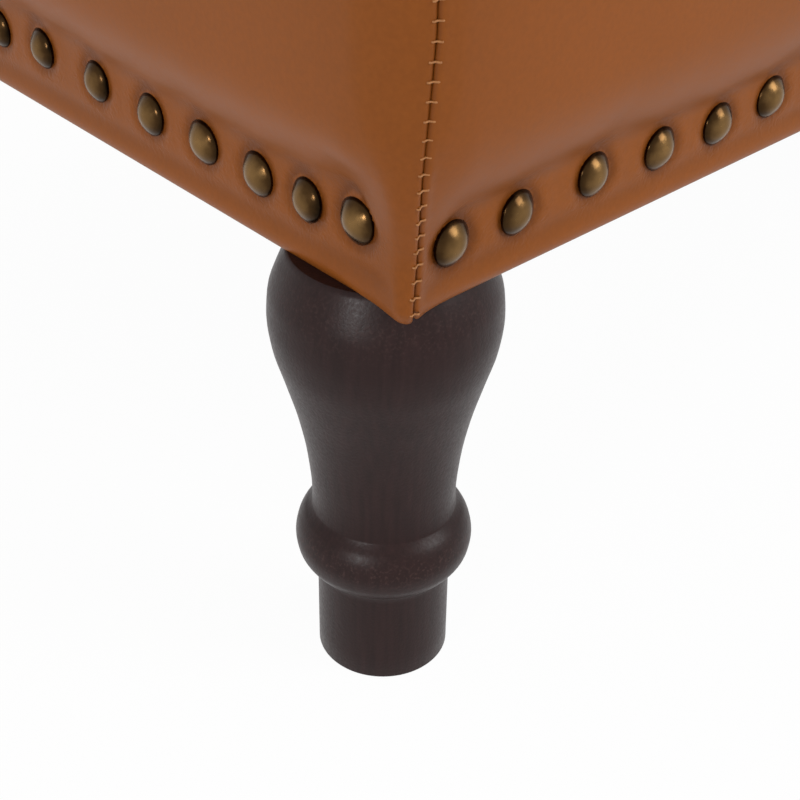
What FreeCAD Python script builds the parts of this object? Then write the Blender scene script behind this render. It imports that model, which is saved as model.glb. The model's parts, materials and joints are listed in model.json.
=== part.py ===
"""Tufted storage bench: a padded box on turned legs under a hinged, button-tufted lid.

Millimetres. +X runs along the bench, the front looks to -Y and +Z is up. The origin lies on the floor
under the middle of the bench.
"""
import FreeCAD, Part
import math
import os
import re

import Sketcher

Vector = FreeCAD.Vector
X_AXIS = Vector(1, 0, 0)
Z_AXIS = Vector(0, 0, 1)

DIMENSIONS = [
    ("carcass_length", 1057, "plywood box, outer length"),
    ("carcass_depth", 417, "plywood box, outer depth"),
    ("wall_height", 222, "plywood walls, height"),
    ("wall_thickness", 12, "plywood walls"),
    ("floor_thickness", 12, "storage floor"),
    ("board_clearance", 0.25, "gap round a board that drops in"),
    ("block_width", 60, "corner block, both ways"),
    ("block_height", 28, "corner blocks and cleats"),
    ("cleat_width", 20, "floor cleats"),
    ("post_width", 16, "corner posts, both ways"),
    ("leg_height", 120, "floor to the lower edge of the leather"),
    ("leg_inset_end", 20, "leg axis inside the leather of the end"),
    ("leg_inset_front", 27.5, "leg axis inside the leather of the front"),
    ("foot_radius", 16.9, "straight foot of the leg"),
    ("ring_foot_height", 27.8, "floor to the underside of the turned ring"),
    ("ring_curve", 10.5, "radius of the ring's round"),
    ("neck_radius", 18.1, "leg above the ring"),
    ("neck_height", 45.5, "floor to the neck"),
    ("flare_curve", 131, "hollow curve from the neck to the belly"),
    ("belly_curve", 34.3, "round of the belly"),
    ("belly_drop", 17.5, "top of the leg down to its widest place"),
    ("leg_top_radius", 22.8, "rim at the top of the leg"),
    ("glide_radius", 11, "foot glide"),
    ("glide_thickness", 3, "foot glide"),
    ("glide_standoff", 0.4, "glide below the foot of the leg"),
    ("glide_clearance", 0.2, "glide in its recess"),
    ("bolt_radius", 3, "hanger bolt"),
    ("bolt_depth", 35, "hanger bolt inside the leg"),
    ("insert_radius", 4.75, "threaded insert"),
    ("insert_length", 22, "threaded insert"),
    ("thread_clearance", 0.1, "bolt and insert in their holes"),
    ("hide_thickness", 1.2, "leather"),
    ("soft_gap", 0.3, "leather and cloth off what they cover"),
    ("seam_gap", 0.3, "between two panels at a corner seam"),
    ("band_height", 21, "flat nailed band above the lower edge"),
    ("lower_round", 5, "round of the leather's lower edge"),
    ("side_crown", 12, "swell of the sides beyond the nailed band"),
    ("swell_rise", 27, "height in which a side swells out"),
    ("crown_dip", 1, "side's swell less than its crown where the swell ends"),
    ("rim_round", 22, "height of the round at the rim"),
    ("rim_return", 22, "leather turned down inside the rim"),
    ("nail_radius", 5.5, "decorative nail's head"),
    ("nail_dome", 2.6, "height of the nail's head"),
    ("nail_bend_radius", 4, "ring on the nail's head where its dome flattens"),
    ("nail_bend_height", 1.6, "ring on the nail's head where its dome flattens"),
    ("nail_pitch", 21, "nail to nail"),
    ("nail_rise_front", 14.1, "front and back nails above the lower edge"),
    ("nail_rise_end", 16.3, "end nails above the lower edge"),
    ("nail_corner", 14.5, "first nail from the corner"),
    ("shank_width", 1.8, "square shank of a nail"),
    ("shank_length", 10.5, "shank of a nail"),
    ("lining_thickness", 1, "storage and lid lining"),
    ("lid_gap", 4, "rim to the underside of the lid"),
    ("lid_overhang", 10, "lid beyond the nailed band, on all sides"),
    ("lid_height", 101, "lid's underside to its crown"),
    ("lid_crown", 20, "crown above the padding's front edge"),
    ("lid_end_crown", 10, "crown above the padding's end edge"),
    ("lid_end_rise", 1, "peak of the crown's arc along the lid above its top"),
    ("lid_lower_round", 8, "round of the lid's lower edge"),
    ("lid_shoulder", 30, "round of the lid's upper edge"),
    ("lid_draw", 4, "lid's sides drawn in at the top"),
    ("lid_corner", 26, "lid's corners in plan"),
    ("lid_board_thickness", 12, "lid board"),
    ("lid_board_inset", 7, "lid board inside the lid's padding"),
    ("lid_return", 24, "leather turned in under the lid"),
    ("tuft_columns", 7, "buttons in the middle row"),
    ("tuft_end_margin", 120, "lid's end to the first button of the middle row"),
    ("tuft_side_margin", 105, "lid's long edge to the buttons of an outer row"),
    ("tuft_depth", 20, "crown down to the floor of a tuft"),
    ("tuft_mouth", 38, "radius of a tuft at the crown"),
    ("pleat_depth", 8, "depth of a pleat"),
    ("pleat_width", 18, "width of a pleat"),
    ("button_radius", 10, "covered button"),
    ("button_height", 5.5, "covered button"),
    ("button_base", 9, "radius of a button's underside"),
    ("button_waist", 1.8, "underside of a button to its widest place"),
    ("button_bend_radius", 7, "ring on a button where its dome flattens"),
    ("button_bend_height", 4.4, "ring on a button where its dome flattens"),
    ("twine_width", 1.6, "tufting twine"),
    ("hinge_length", 70, "butt hinge along the bench"),
    ("hinge_inset", 150, "outer hinges inside the leather of the ends"),
    ("hinge_out", 6, "hinge axis behind the nailed band"),
    ("leaf_thickness", 1.3, "hinge leaf"),
    ("leaf_width", 26, "hinge leaf from the axis"),
    ("knuckle_radius", 3.5, "hinge knuckle"),
    ("knuckle_gap", 0.4, "between knuckles"),
    ("knuckle_share", 22, "length of each outer knuckle"),
    ("pin_radius", 1.75, "hinge pin"),
    ("pin_clearance", 0.05, "hinge pin in its knuckles"),
    ("screw_radius", 1.8, "wood screw"),
    ("screw_head", 3.4, "countersunk head"),
    ("screw_length", 10, "wood screw"),
    ("screw_point", 2.5, "tapered point of a wood screw"),
    ("screw_clearance", 0.1, "countersunk head in its seat"),
    ("bumper_radius", 6, "lid bumper"),
    ("bumper_relief", 0.3, "lid bumper above the rim"),
    ("bumper_inset", 9, "lid bumper inside the nailed band"),
    ("strut_clear", 52, "height of a wall less the reach from the hinge axis to both strut pivots"),
    ("strut_lid_drop", 12, "lid pivot below the hinge axis"),
    ("bracket_post_gap", 2.5, "strut's wall bracket beside a corner post"),
    ("strut_plane", 12.5, "strut's axis inside the end panel"),
    ("strut_show", 17, "rod outside the tube with the lid shut, to its eye"),
    ("tube_radius", 7.5, "strut tube"),
    ("tube_wall", 1, "strut tube"),
    ("tube_foot", 14, "solid foot of the tube, from its eye"),
    ("tube_cap", 4, "guide at the tube's mouth"),
    ("rod_radius", 3, "strut rod"),
    ("rod_clearance", 0.1, "rod in the tube's guide"),
    ("rod_run_out", 4, "rod's end clear of the tube's foot"),
    ("eye_radius", 8, "eyes at the ends of a strut"),
    ("eye_width", 10, "eyes at the ends of a strut"),
    ("stud_radius", 4, "stud in an eye"),
    ("stud_clearance", 0.08, "eye on its stud"),
    ("stud_head", 6.5, "head and shoulder of a stud"),
    ("stud_head_width", 2, "head of a stud"),
    ("eye_play", 0.3, "eye between a stud's head and shoulder"),
    ("bracket_thickness", 2, "strut bracket's plate"),
    ("bracket_length", 40, "strut bracket's plate"),
    ("bracket_width", 22, "strut bracket's plate"),
]
ALIASES = {alias for alias, number, note in DIMENSIONS}

# The nails beside the front left corner were set by eye: distances from that corner along each side.
HAND_SET_FRONT = (13.9, 33.6, 58.0, 81.0, 102.5, 123.1)
HAND_SET_END = (15.2, 31.7, 48.7, 68.6, 89.5, 112.1, 136.4)

# Small repeated pieces are turned with few flats.
FLATS = 8

doc = FreeCAD.newDocument("StorageBench")
sheet = doc.addObject("Spreadsheet::Sheet", "Dimensions")
for row, (alias, number, note) in enumerate(DIMENSIONS, start=1):
    sheet.set(f"A{row}", note)
    sheet.set(f"B{row}", str(number))
    sheet.setAlias(f"B{row}", alias)
doc.recompute()

nodes = []


def formula(text):
    """The document's formula for a text in which each dimension stands under its alias."""

    def with_sheet(word):
        return f"Dimensions.{word[0]}" if word[0] in ALIASES else word[0]

    return re.sub(r"[a-z][a-z_]+", with_sheet, text)


def value(text):
    """The number that a formula gives."""
    return float(sheet.evalExpression(formula(text)))


def tie(thing, **formulas):
    """Binds properties to formulas; the names x, y and z stand for the object's place."""
    for name, text in formulas.items():
        path = f"Placement.Base.{name}" if name in ("x", "y", "z") else name
        thing.setExpression(path, formula(text))
    return thing


def node(thing, label):
    """Names an object as a sub-part of the bench."""
    thing.Label = label
    nodes.append(thing)
    return thing


# Places that several sub-parts share.
SKIN = "(hide_thickness + soft_gap)"
WOOD_BOTTOM = f"(leg_height + {SKIN})"
WOOD_TOP = f"({WOOD_BOTTOM} + wall_height)"
RIM = f"({WOOD_TOP} + {SKIN})"
FLOOR_TOP = f"({WOOD_BOTTOM} + block_height + floor_thickness)"
INNER_LENGTH = "(carcass_length - 2 * wall_thickness)"
INNER_DEPTH = "(carcass_depth - 2 * wall_thickness)"
BAND_LENGTH = f"(carcass_length + 2 * {SKIN})"
BAND_DEPTH = f"(carcass_depth + 2 * {SKIN})"
LEG_X = f"({BAND_LENGTH} / 2 - leg_inset_end)"
LEG_Y = f"({BAND_DEPTH} / 2 - leg_inset_front)"
LID_LENGTH = f"({BAND_LENGTH} + 2 * lid_overhang)"
LID_DEPTH = f"({BAND_DEPTH} + 2 * lid_overhang)"
TUFT_PITCH = f"(({LID_LENGTH} - 2 * tuft_end_margin) / (tuft_columns - 1))"
TUFT_ROW = f"({LID_DEPTH} / 2 - tuft_side_margin)"
LID_BOTTOM = f"({RIM} + lid_gap)"
LID_HIDE_BOTTOM = f"({LID_BOTTOM} + lining_thickness + soft_gap)"
LID_BOARD_BOTTOM = f"({LID_HIDE_BOTTOM} + {SKIN})"
LID_BOARD_TOP = f"({LID_BOARD_BOTTOM} + lid_board_thickness)"
LID_TOP = f"({LID_BOTTOM} + lid_height)"
HINGE_SPREAD = f"({BAND_LENGTH} / 2 - hinge_inset)"
HINGE_Y = f"({BAND_DEPTH} / 2 + hinge_out)"
HINGE_Z = f"({RIM} + lid_gap / 2)"
STRUT_REACH = "(wall_height - strut_clear)"
LID_PIVOT_Y = f"({HINGE_Y} - sqrt({STRUT_REACH} ^ 2 - strut_lid_drop ^ 2))"
LID_PIVOT_Z = f"({HINGE_Z} - strut_lid_drop)"
WALL_PIVOT_Y = f"({INNER_DEPTH} / 2 - post_width - bracket_post_gap - bracket_length / 2)"
WALL_PIVOT_Z = f"({HINGE_Z} - sqrt({STRUT_REACH} ^ 2 - ({HINGE_Y} - {WALL_PIVOT_Y}) ^ 2))"
STRUT_CLOSED = f"sqrt(({WALL_PIVOT_Y} - {LID_PIVOT_Y}) ^ 2 + ({LID_PIVOT_Z} - {WALL_PIVOT_Z}) ^ 2)"
STRUT_X = f"({INNER_LENGTH} / 2 - strut_plane)"
WALL_FACE_X = f"({INNER_LENGTH} / 2 - soft_gap - lining_thickness)"

LEFT_RIGHT = (("left", -1), ("right", 1))
FRONT_BACK = (("front", -1), ("back", 1))


def box(name, length, width, height, x, y, z):
    """A block given by its sizes and its lowest corner."""
    block = doc.addObject("Part::Box", name)
    return tie(block, Length=length, Width=width, Height=height, x=x, y=y, z=z)


def centred_box(name, length, width, height, x, y, z):
    """A block given by its sizes and the middle of its underside."""
    return box(name, length, width, height, f"{x} - ({length}) / 2", f"{y} - ({width}) / 2", z)


def cylinder(name, radius, height, x, y, z, along=Z_AXIS):
    """A cylinder that starts at a point and runs along an axis."""
    rod = doc.addObject("Part::Cylinder", name)
    rod.Placement.Rotation = FreeCAD.Rotation(Z_AXIS, along)
    return tie(rod, Radius=radius, Height=height, x=x, y=y, z=z)


def faceted(*rings):
    """A flat-sided solid through regular polygons, each a (radius, height) pair along +Z, from low to high.

    A radius of 0 ends it in a point.
    """
    turns = [2 * math.pi * (i + 0.5) / FLATS for i in range(FLATS)]
    levels = [[Vector(radius * math.cos(turn), radius * math.sin(turn), height) for turn in turns]
              for radius, height in rings]

    def face(*points):
        return Part.Face(Part.makePolygon(list(points) + [points[0]]))

    faces = [face(*reversed(levels[0]))]
    if rings[-1][0]:
        faces.append(face(*levels[-1]))
    for low, high, (radius, height) in zip(levels, levels[1:], rings[1:]):
        for i in range(FLATS):
            a, b = low[i - 1], low[i]
            faces.append(face(a, b, high[i], high[i - 1]) if radius else face(a, b, high[i]))
    return Part.Solid(Part.Shell(faces))


def countersink(name, x, y, z, along):
    """The seat of a countersunk screw, its mouth at a point and its narrow end along an axis."""
    seat = doc.addObject("Part::Feature", name)
    seat.Shape = faceted((value("screw_head + screw_clearance"), 0),
                         (value("screw_radius + screw_clearance"), value("bracket_thickness")))
    seat.Placement.Rotation = FreeCAD.Rotation(Z_AXIS, along)
    return tie(seat, x=x, y=y, z=z)


def fuse(name, pieces):
    """Several pieces made one."""
    whole = doc.addObject("Part::MultiFuse", name)
    whole.Shapes = pieces
    return whole


def cut(name, base, tool):
    """A piece less what a tool takes from it."""
    rest = doc.addObject("Part::Cut", name)
    rest.Base = base
    rest.Tool = tool
    return rest


def eased(label, block, radius, wanted):
    """A block with a round on each edge whose middle the test wanted picks."""
    block.recompute()
    size = value(radius)
    whole = doc.addObject("Part::Fillet", label)
    whole.Base = block
    whole.Edges = [(number, size, size) for number, edge in enumerate(block.Shape.Edges, 1)
                   if wanted(edge.CenterOfMass)]
    return whole


def shaped(label, shape, place=None):
    """A sub-part whose form is worked out with Part's own functions."""
    thing = doc.addObject("Part::Feature", label)
    thing.Shape = shape
    if place:
        thing.Placement = place
    return node(thing, label)


def outline(start, *stretches):
    """A face inside a closed outline: a point ends a straight stretch, a pair (via, end) is an arc."""
    edges = []
    here = start
    for stretch in stretches:
        if isinstance(stretch, tuple):
            via, end = stretch
            edges.append(Part.Arc(here, via, end).toShape())
        else:
            end = stretch
            edges.append(Part.makeLine(here, end))
        here = end
    if not here.isEqual(start, 1e-6):
        edges.append(Part.makeLine(here, start))
    return Part.Face(Part.Wire(edges))


def corner_arc(start, corner, end):
    """The arc that rounds a square corner from start to end."""
    centre = start + end - corner
    middle = centre + (corner - centre).normalize() * (start - centre).Length
    return (middle, end)


# Plywood box

# The lower edges under the leather are rounded with it.
WOOD_ROUND = f"(lower_round - {SKIN})"
wood_bottom = value(WOOD_BOTTOM)
for side, sign in FRONT_BACK:
    wall_y = "-carcass_depth / 2" if sign < 0 else "carcass_depth / 2 - wall_thickness"
    inner_y = sign * value(f"{INNER_DEPTH} / 2")
    blank = box(f"{side}_blank", "carcass_length", "wall_thickness", "wall_height",
                "-carcass_length / 2", wall_y, WOOD_BOTTOM)
    panel = eased(f"{side}_panel", blank, WOOD_ROUND,
                  lambda middle: abs(middle.z - wood_bottom) < 1 and abs(middle.y - inner_y) > 1)
    node(panel, f"{side}_panel")
    cleat_y = f"-{INNER_DEPTH} / 2" if sign < 0 else f"{INNER_DEPTH} / 2 - cleat_width"
    cleat = box(f"floor_cleat_{side}", f"{INNER_LENGTH} - 2 * block_width", "cleat_width", "block_height",
                f"block_width - {INNER_LENGTH} / 2", cleat_y, WOOD_BOTTOM)
    node(cleat, f"floor_cleat_{side}")

for side, sign in LEFT_RIGHT:
    wall_x = "-carcass_length / 2" if sign < 0 else "carcass_length / 2 - wall_thickness"
    outer_x = sign * value("carcass_length / 2")
    blank = box(f"{side}_end_blank", "wall_thickness", INNER_DEPTH, "wall_height",
                wall_x, f"-{INNER_DEPTH} / 2", WOOD_BOTTOM)
    panel = eased(f"{side}_end_panel", blank, WOOD_ROUND,
                  lambda middle: abs(middle.z - wood_bottom) < 1 and abs(middle.x - outer_x) < 1)
    node(panel, f"{side}_end_panel")

floor_board = centred_box("floor_board", f"{INNER_LENGTH} - 2 * board_clearance",
                          f"{INNER_DEPTH} - 2 * board_clearance", "floor_thickness",
                          "0", "0", f"{WOOD_BOTTOM} + block_height")
node(floor_board, "floor_board")


def corner_block(label, side_x, side_y):
    """A block in a corner of the box, bored for the insert that takes a leg's bolt."""
    middle_x = f"{side_x} * ({INNER_LENGTH} / 2 - block_width / 2)"
    middle_y = f"{side_y} * ({INNER_DEPTH} / 2 - block_width / 2)"
    block = centred_box(label + "_blank", "block_width", "block_width", "block_height",
                        middle_x, middle_y, WOOD_BOTTOM)
    bore = cylinder(label + "_bore", "insert_radius + thread_clearance", "insert_length",
                    f"{side_x} * {LEG_X}", f"{side_y} * {LEG_Y}", WOOD_BOTTOM)
    node(cut(label, block, bore), label)


def corner_post(side_x, side_y):
    """A square post that joins two walls, from the floor to below the leather turned in at the rim."""
    height = value(f"{RIM} - rim_return - soft_gap - {FLOOR_TOP}")
    post = Part.makeBox(value("post_width"), value("post_width"), height)
    reach_x = value(f"{INNER_LENGTH} / 2 - post_width / 2")
    reach_y = value(f"{INNER_DEPTH} / 2 - post_width / 2")
    half = value("post_width / 2")
    post.translate(Vector(side_x * reach_x - half, side_y * reach_y - half, value(FLOOR_TOP)))
    return post


CORNERS = [(f"{depth}_{end}", sign_x, sign_y) for depth, sign_y in FRONT_BACK for end, sign_x in LEFT_RIGHT]
for corner, sign_x, sign_y in CORNERS:
    corner_block(f"corner_block_{corner}", sign_x, sign_y)
posts = [corner_post(sign_x, sign_y) for corner, sign_x, sign_y in CORNERS]
shaped("corner_posts", Part.makeCompound(posts))


# Legs and what fastens them


def leg(label, side_x, side_y):
    """A leg turned in one piece: straight foot, ring, flaring belly, bolt hole on top, recess below."""
    body = doc.addObject("PartDesign::Body", label)
    profile = body.newObject("Sketcher::SketchObject", label + "_profile")
    plane = [face for face in body.Origin.OriginFeatures if face.Role == "XZ_Plane"][0]
    profile.AttachmentSupport = [(plane, "")]
    profile.MapMode = "FlatFace"

    foot, floor = value("foot_radius"), value("glide_standoff")
    ring_foot, ring = value("ring_foot_height"), value("ring_curve")
    neck = Vector(value("neck_radius"), value("neck_height"), 0)
    top = Vector(value("leg_top_radius"), value("leg_height"), 0)
    flare, belly, drop = value("flare_curve"), value("belly_curve"), value("belly_drop")
    hole, hole_end = value("bolt_radius + thread_clearance"), value("leg_height - bolt_depth")
    recess, recess_end = value("glide_radius + glide_clearance"), value("glide_thickness")

    def circle_centre(first, second, radius):
        """Centre, on the side of the leg's axis, of the circle through two points."""
        chord = second - first
        away = Vector(-chord.y, chord.x, 0).normalize()
        return (first + second) * 0.5 + away * math.sqrt(radius ** 2 - chord.Length ** 2 / 4)

    ring_start = Vector(foot, ring_foot, 0)
    ring_centre = circle_centre(ring_start, neck, ring)
    belly_centre = Vector(top.x - math.sqrt(belly ** 2 - drop ** 2), top.y - drop, 0)
    # The flare's circle passes the neck and touches the belly's circle from outside.
    span = neck - belly_centre
    along = (span.Length ** 2 + (flare + belly) ** 2 - flare ** 2) / (2 * span.Length)
    across = math.sqrt((flare + belly) ** 2 - along ** 2)
    direction = Vector(span).normalize()
    flare_centre = belly_centre + direction * along + Vector(-direction.y, direction.x, 0) * across
    meeting = belly_centre + (flare_centre - belly_centre).normalize() * belly

    def arc(centre, radius, start, end):
        angles = [math.atan2(point.y - centre.y, point.x - centre.x) for point in (start, end)]
        return Part.ArcOfCircle(Part.Circle(centre, Z_AXIS, radius), *angles)

    corners = [Vector(recess, floor, 0), Vector(foot, floor, 0), ring_start]
    upper = [top, Vector(hole, top.y, 0), Vector(hole, hole_end, 0), Vector(0, hole_end, 0),
             Vector(0, recess_end, 0), Vector(recess, recess_end, 0), corners[0]]
    lines = [Part.LineSegment(a, b) for a, b in zip(corners, corners[1:])]
    arcs = [arc(ring_centre, ring, ring_start, neck), arc(flare_centre, flare, meeting, neck),
            arc(belly_centre, belly, meeting, top)]
    rest = [Part.LineSegment(a, b) for a, b in zip(upper, upper[1:])]
    profile.addGeometry(lines + arcs + rest, False)

    SOLE, SIDE, RING, FLARE, BELLY, RIM_LINE, HOLE_SIDE, HOLE_END, AXIS, ROOF, RECESS_SIDE = range(11)
    START, END, CENTRE, ORIGIN = 1, 2, 3, -1
    rules = [Sketcher.Constraint("Coincident", a, END, b, START)
             for a, b in ((SOLE, SIDE), (SIDE, RING), (BELLY, RIM_LINE), (RIM_LINE, HOLE_SIDE),
                          (HOLE_SIDE, HOLE_END), (HOLE_END, AXIS), (AXIS, ROOF), (ROOF, RECESS_SIDE),
                          (RECESS_SIDE, SOLE))]
    rules.append(Sketcher.Constraint("Coincident", RING, END, FLARE, END))
    rules.append(Sketcher.Constraint("Tangent", FLARE, START, BELLY, START))
    rules += [Sketcher.Constraint("Horizontal", line) for line in (SOLE, RIM_LINE, HOLE_END, ROOF)]
    rules += [Sketcher.Constraint("Vertical", line) for line in (SIDE, HOLE_SIDE, AXIS, RECESS_SIDE)]
    rules.append(Sketcher.Constraint("PointOnObject", AXIS, START, -2))
    profile.addConstraint(rules)

    def measure(name, kind, text, *where):
        number = profile.addConstraint(Sketcher.Constraint(kind, *where, value(text)))
        profile.renameConstraint(number, name)
        profile.setExpression(f"Constraints.{name}", formula(text))

    measure("foot", "DistanceX", "foot_radius", ORIGIN, START, SIDE, START)
    measure("sole", "DistanceY", "glide_standoff", ORIGIN, START, SIDE, START)
    measure("ring_foot", "DistanceY", "ring_foot_height", ORIGIN, START, SIDE, END)
    measure("ring_round", "Radius", "ring_curve", RING)
    measure("neck", "DistanceX", "neck_radius", ORIGIN, START, RING, END)
    measure("neck_rise", "DistanceY", "neck_height", ORIGIN, START, RING, END)
    measure("flare_round", "Radius", "flare_curve", FLARE)
    measure("belly_round", "Radius", "belly_curve", BELLY)
    measure("belly_place", "DistanceY", "belly_drop", BELLY, CENTRE, BELLY, END)
    measure("top", "DistanceX", "leg_top_radius", ORIGIN, START, BELLY, END)
    measure("rise", "DistanceY", "leg_height", ORIGIN, START, BELLY, END)
    measure("hole", "DistanceX", "bolt_radius + thread_clearance", ORIGIN, START, HOLE_SIDE, START)
    measure("hole_depth", "DistanceY", "bolt_depth", HOLE_SIDE, END, HOLE_SIDE, START)
    measure("recess", "DistanceX", "glide_radius + glide_clearance", ORIGIN, START, RECESS_SIDE, START)
    measure("recess_roof", "DistanceY", "glide_thickness", ORIGIN, START, RECESS_SIDE, START)

    turned = body.newObject("PartDesign::Revolution", label + "_turned")
    turned.Profile = profile
    turned.ReferenceAxis = (profile, ["V_Axis"])
    turned.Angle = 360
    node(tie(body, x=f"{side_x} * {LEG_X}", y=f"{side_y} * {LEG_Y}"), label)


def at_legs(shape):
    """Copies of a shape at the four leg axes."""
    reach_x, reach_y = value(LEG_X), value(LEG_Y)
    return Part.makeCompound([shape.translated(Vector(sign_x * reach_x, sign_y * reach_y, 0))
                              for corner, sign_x, sign_y in CORNERS])


for corner, sign_x, sign_y in CORNERS:
    leg(f"leg_{corner}", sign_x, sign_y)

bolt_bottom = Vector(0, 0, value("leg_height - bolt_depth"))
bolt_reach = value(f"bolt_depth + {SKIN} + insert_length")
insert_bottom = Vector(0, 0, value(WOOD_BOTTOM))
insert = Part.makeCylinder(value("insert_radius"), value("insert_length"), insert_bottom)
thread = Part.makeCylinder(value("bolt_radius + thread_clearance"), value("insert_length"), insert_bottom)
shaped("hanger_bolts", at_legs(Part.makeCylinder(value("bolt_radius"), bolt_reach, bolt_bottom)))
shaped("leg_inserts", at_legs(insert.cut(thread)))
shaped("foot_glides", at_legs(Part.makeCylinder(value("glide_radius"), value("glide_thickness"))))


# Padded sides: each is shaped as a wall that looks to -Y, then turned to its place


def side_section():
    """Section of a padded side: Y is 0 on the nailed band, negative outwards; Z is 0 at the lower edge."""
    lower, band, crown = value("lower_round"), value("band_height"), value("side_crown")
    low_crown = crown - value("crown_dip")
    top = value(f"{RIM} - leg_height")
    inner = value(f"wall_thickness + 2 * {SKIN}")
    wood = value(SKIN)
    swell_end = band + value("swell_rise")
    round_start = top - value("rim_round")

    def point(out, height):
        return Vector(0, -out, height)

    def bend(start_out, start_height, end_out, end_height):
        """Middle of an arc that stands upright at its outer end."""
        out, rise = end_out - start_out, end_height - start_height
        radius = (out ** 2 + rise ** 2) / (2 * abs(out))
        half = math.asin(rise / radius) / 2 if abs(rise) < radius else math.pi / 4
        if out > 0:
            return point(end_out - radius * (1 - math.cos(half)), end_height - radius * math.sin(half))
        return point(start_out - radius * (1 - math.cos(half)), start_height + radius * math.sin(half))

    return outline(
        point(-inner, 0),
        point(-lower, 0),
        corner_arc(point(-lower, 0), point(0, 0), point(0, lower)),
        point(0, band),
        (bend(0, band, low_crown, swell_end), point(low_crown, swell_end)),
        (point(crown, (swell_end + round_start) / 2), point(low_crown, round_start)),
        (bend(low_crown, round_start, -wood, top), point(-wood, top)),
        point(-inner, top),
    )


def mitred(section, length, gap):
    """A wall of the section, cut at both ends along the diagonals of the box's corners."""
    reach = value("side_crown + wall_thickness") * 2
    half = length / 2 - gap / 2
    plan = Part.makePolygon([Vector(-half - reach, -reach, 0), Vector(half + reach, -reach, 0),
                             Vector(half - reach, reach, 0), Vector(reach - half, reach, 0),
                             Vector(-half - reach, -reach, 0)])
    keep = Part.Face(plan).extrude(Vector(0, 0, value(RIM)))
    run = section.translated(Vector(-half - reach, 0, 0)).extrude(Vector(2 * (half + reach), 0, 0))
    return run.common(keep)


def side_place(turn, distance):
    """Turns a wall that looks to -Y about the bench's middle and lifts it to the lower edge."""
    spin = FreeCAD.Rotation(Z_AXIS, turn)
    return FreeCAD.Placement(spin.multVec(Vector(0, -distance, 0)) + Z_AXIS * value("leg_height"), spin)


SECTION = side_section()
HIDE_INSIDE = SECTION.makeOffset2D(-value("hide_thickness"))
PAD_OUTSIDE = SECTION.makeOffset2D(-value(SKIN))


def strip(start, end, low, high):
    """An upright rectangle in a side's section."""
    return outline(Vector(0, start, low), Vector(0, end, low), Vector(0, end, high), Vector(0, start, high))


def cover_section():
    """The leather: under the lower edge, up the side, over the rim and down inside it."""
    hide = value("hide_thickness")
    inner = value(f"wall_thickness + 2 * {SKIN}")
    window = strip(inner - hide, inner + hide, hide, value(f"{RIM} - leg_height - rim_return"))
    return SECTION.cut(HIDE_INSIDE).cut(window)


def foam_section():
    """The pad between the panel's face and the leather, above the nailed band."""
    return PAD_OUTSIDE.common(strip(-value("side_crown"), value(SKIN), value("band_height"), value(RIM)))


def nail():
    """A nail driven to +Y, its head's underside at the origin: a domed head on a square pointed shank."""
    rim, dome = value("nail_radius"), value("nail_dome")
    half, length = value("shank_width / 2"), value("shank_length")
    bend = (value("nail_bend_radius"), value("nail_bend_height"))
    head = faceted((rim, 0), bend, (0, dome))
    root = Part.makePolygon([Vector(half, half, 0), Vector(-half, half, 0), Vector(-half, -half, 0),
                             Vector(half, -half, 0), Vector(half, half, 0)])
    shank = Part.makeLoft([root, Part.Vertex(0, 0, -length)], True, True)
    whole = head.fuse(shank)
    whole.rotate(Vector(0, 0, 0), X_AXIS, 90)
    return whole


def nail_row(length, rise, hand_set):
    """Nails along a wall that looks to -Y; hand_set gives the first ones from its left end."""
    corner, pitch = value("nail_corner"), value("nail_pitch")
    start = hand_set[-1] + pitch if hand_set else corner
    count = max(1, round((length - corner - start) / pitch))
    step = (length - corner - start) / count
    places = list(hand_set) + [start + i * step for i in range(count + 1)]
    pattern = nail()
    return Part.makeCompound([pattern.translated(Vector(place - length / 2, 0, rise)) for place in places])


COVER, FOAM = cover_section(), foam_section()
ALONG, ACROSS = value(BAND_LENGTH), value(BAND_DEPTH)
SIDES = [("front", 0, ALONG, ACROSS, "nail_rise_front"), ("right", 90, ACROSS, ALONG, "nail_rise_end"),
         ("back", 180, ALONG, ACROSS, "nail_rise_front"), ("left", 270, ACROSS, ALONG, "nail_rise_end")]
for side, turn, length, distance, rise in SIDES:
    place = side_place(turn, distance / 2)
    shaped(f"{side}_foam", mitred(FOAM, length, 2 * value("seam_gap")), place)
    shaped(f"{side}_cover", mitred(COVER, length, value("seam_gap")), place)
    hand_set = {"front": HAND_SET_FRONT, "left": HAND_SET_END}.get(side, ())
    row = nail_row(length, value(rise), hand_set)
    if side == "left":
        row = row.mirror(Vector(0, 0, 0), Vector(1, 0, 0))
    shaped(f"nailheads_{side}", row, place)


# Linings


def notched_plan(inset):
    """Plan of the storage space less an inset, stepped in round the corner posts."""
    half_x, half_y = value(f"{INNER_LENGTH} / 2") - inset, value(f"{INNER_DEPTH} / 2") - inset
    post = value("post_width")
    quarter = [(half_x - post, half_y), (half_x - post, half_y - post), (half_x, half_y - post)]
    points = [Vector(x, y, 0) for x, y in quarter]
    points += [Vector(x, -y, 0) for x, y in reversed(quarter)]
    points += [Vector(-x, -y, 0) for x, y in quarter]
    points += [Vector(-x, y, 0) for x, y in reversed(quarter)]
    return Part.Face(Part.makePolygon(points + points[:1]))


def storage_lining():
    """Cloth on the floor and up the walls, to just below the leather turned in at the rim."""
    gap, cloth = value("soft_gap"), value("lining_thickness")
    height = value(f"{RIM} - rim_return - {FLOOR_TOP} - 2 * soft_gap")
    outside = notched_plan(gap).extrude(Vector(0, 0, height))
    inside = notched_plan(gap + cloth).extrude(Vector(0, 0, height)).translated(Vector(0, 0, cloth))
    return outside.cut(inside).translated(Vector(0, 0, value(FLOOR_TOP) + gap))


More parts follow.
